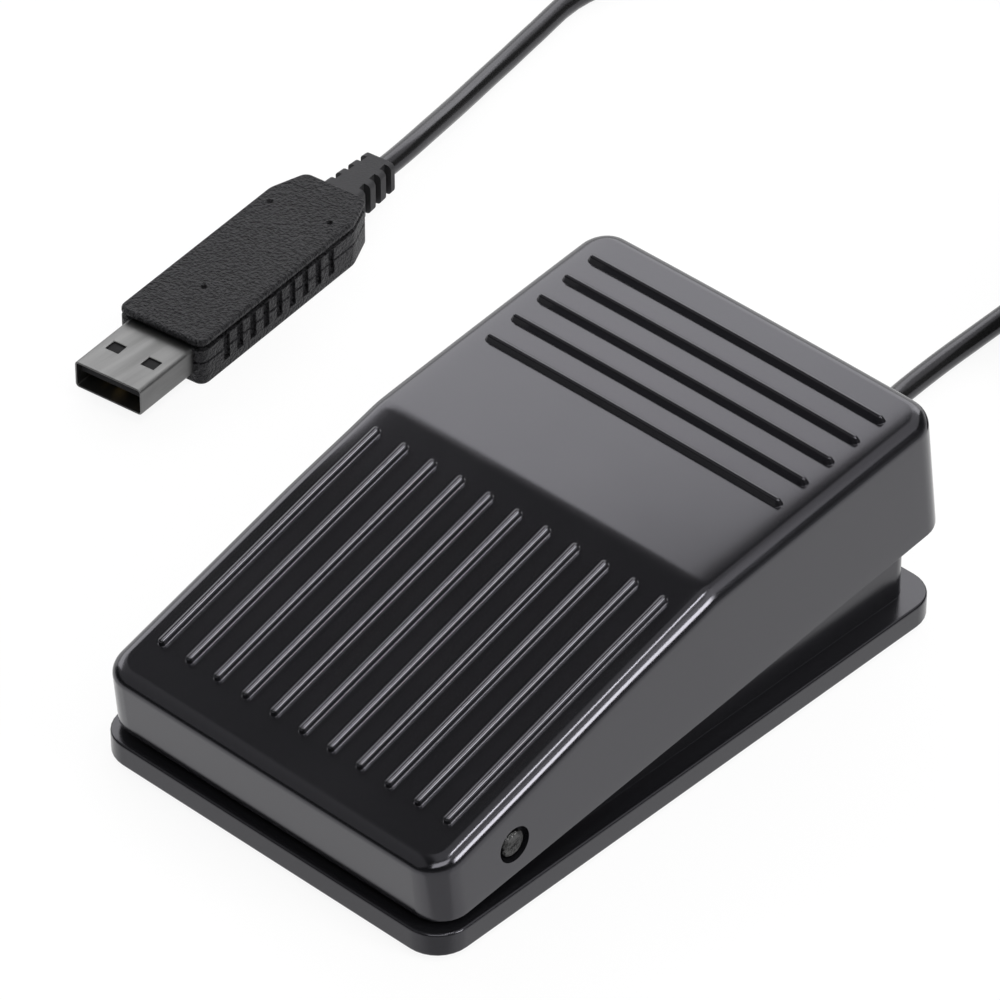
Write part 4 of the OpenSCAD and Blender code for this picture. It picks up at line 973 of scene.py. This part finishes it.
def openSide(tree, vector, ahead, right, least, join="MINIMUM"):
    # one towards the rear left, falling smoothly to the least value between two limits ahead and two to the
    # right; MINIMUM darkens past either pair of limits, MAXIMUM only past both
    split = addNode(tree, "SeparateXYZ", {"Vector": vector}).outputs
    forward = mathNode(tree, "MULTIPLY", split["Y"], -1.0)
    sides = []
    for value, (near, far) in ((forward, ahead), (split["X"], right)):
        node = addNode(tree, "MapRange", {"Value": value, "From Min": near, "From Max": far, "To Min": 1.0,
                                          "To Max": least})
        node.interpolation_type = "SMOOTHSTEP"
        sides.append(node.outputs["Result"])
    return mathNode(tree, join, *sides)


def addFloor():
    # white to the camera; in reflections darker far ahead and to the right, and at the base's front corner
    h = stage["size"] / 2
    mesh = bpy.data.meshes.new("floor")
    mesh.from_pydata([(-h, -h, 0), (h, -h, 0), (h, h, 0), (-h, h, 0)], [], [(0, 1, 2, 3)])
    obj = bpy.data.objects.new("floor", mesh)
    scene.collection.objects.link(obj)
    material = bpy.data.materials.new("floorPaper")
    material.use_nodes = True
    tree = material.node_tree
    paper = tree.nodes["Principled BSDF"]
    feed(tree, paper, {"Base Color": grey(stage["paper"]), "Roughness": 0.9, "Specular IOR Level": 0.0})
    ray = addNode(tree, "LightPath", {}).outputs
    seen = mathNode(tree, "MAXIMUM", ray["Is Camera Ray"], ray["Is Glossy Ray"])
    seen = mathNode(tree, "MAXIMUM", seen, ray["Is Transmission Ray"])
    place = addNode(tree, "TexCoord", {}).outputs["Object"]
    limits = (stage["near"], stage["far"])
    lit = openSide(tree, place, limits, limits, stage["farFloor"])
    ahead = np.array(stage["cornerAhead"]) * mm - baseLow[1]  # from the base's front edge
    right = np.array(stage["cornerRight"]) * mm + baseHigh[0]  # from the base's right edge
    corner = openSide(tree, place, ahead, right, stage["cornerLeast"], "MAXIMUM")
    lit = mathNode(tree, "MINIMUM", lit, corner)
    white = addNode(tree, "Emission", {"Strength": mathNode(tree, "MAXIMUM", lit, ray["Is Camera Ray"])})
    mix = addNode(tree, "MixShader", {"Fac": mathNode(tree, "MULTIPLY", seen, 1 - stage["shadow"]),
                                      1: paper.outputs["BSDF"], 2: white.outputs["Emission"]})
    feed(tree, tree.nodes["Material Output"], {"Surface": mix.outputs["Shader"]})
    obj.data.materials.append(material)


def setWorld():
    # white to the camera; to everything else a bright horizon that darkens upwards, ahead and to the right
    world = bpy.data.worlds.new("studio")
    world.use_nodes = True
    scene.world = world
    tree = world.node_tree
    seen = addNode(tree, "LightPath", {}).outputs["Is Camera Ray"]
    place = addNode(tree, "TexCoord", {}).outputs["Generated"]
    upward = addNode(tree, "SeparateXYZ", {"Vector": place}).outputs["Z"]
    ramp = addNode(tree, "ValToRGB", {"Fac": upward})
    levels = (stage["worldLow"], stage["worldHigh"])
    for element, position, level in zip(ramp.color_ramp.elements, stage["horizon"], levels):
        element.position = position
        element.color = grey(level)
    limits = (0.0, stage["skyReach"])
    lit = openSide(tree, place, limits, limits, stage["farSky"])
    mix = addNode(tree, "MixRGB", {"Fac": seen, "Color1": ramp.outputs["Color"], "Color2": (1, 1, 1, 1)})
    feed(tree, tree.nodes["Background"], {"Color": mix.outputs["Color"],
                                          "Strength": mathNode(tree, "MAXIMUM", lit, seen)})


# lamps: soft boxes seen from the pedal, each with azimuth, lower and upper elevation, span and brightness
lamps = dict(rear=(142, 26, 51, 90, 2.85), low=(142, 4, 26, 90, 1.0), side=(14, 18, 36, 16, 14.7),
             fill=(14, 36, 71, 36, 0.7), back=(65, 36, 66, 70, 0.85), top=(16, 71.5, 77, 14, 19.0),
             front=(-47, 40, 62, 40, 4.0), left=(-145, 26, 60, 70, 0.32), ceiling=(50, 70, 110, 40, 0.6))


def addLamp(name, azimuth, low, high, span, brightness):
    # an area light that faces the pedal from the middle of its angles
    a, e = math.radians(azimuth), math.radians((low + high) / 2)
    distance = stage["lampDistance"]
    light = bpy.data.lights.new(name, "AREA")
    light.shape = "RECTANGLE"
    light.size = 2 * distance * math.tan(math.radians(span / 2))
    light.size_y = 2 * distance * math.tan(math.radians((high - low) / 2))
    light.energy = brightness * math.pi * light.size * light.size_y
    obj = bpy.data.objects.new(name, light)
    back = np.array([math.cos(a) * math.cos(e), math.sin(a) * math.cos(e), math.sin(e)])
    level = np.array([-math.sin(a), math.cos(a), 0])
    obj.location = back * distance
    obj.rotation_euler = Matrix(np.column_stack([level, np.cross(back, level), back]).tolist()).to_euler()
    scene.collection.objects.link(obj)


addFloor()
setWorld()
for name, lamp in lamps.items():
    addLamp(name, *lamp)
print("stage and lamps set")
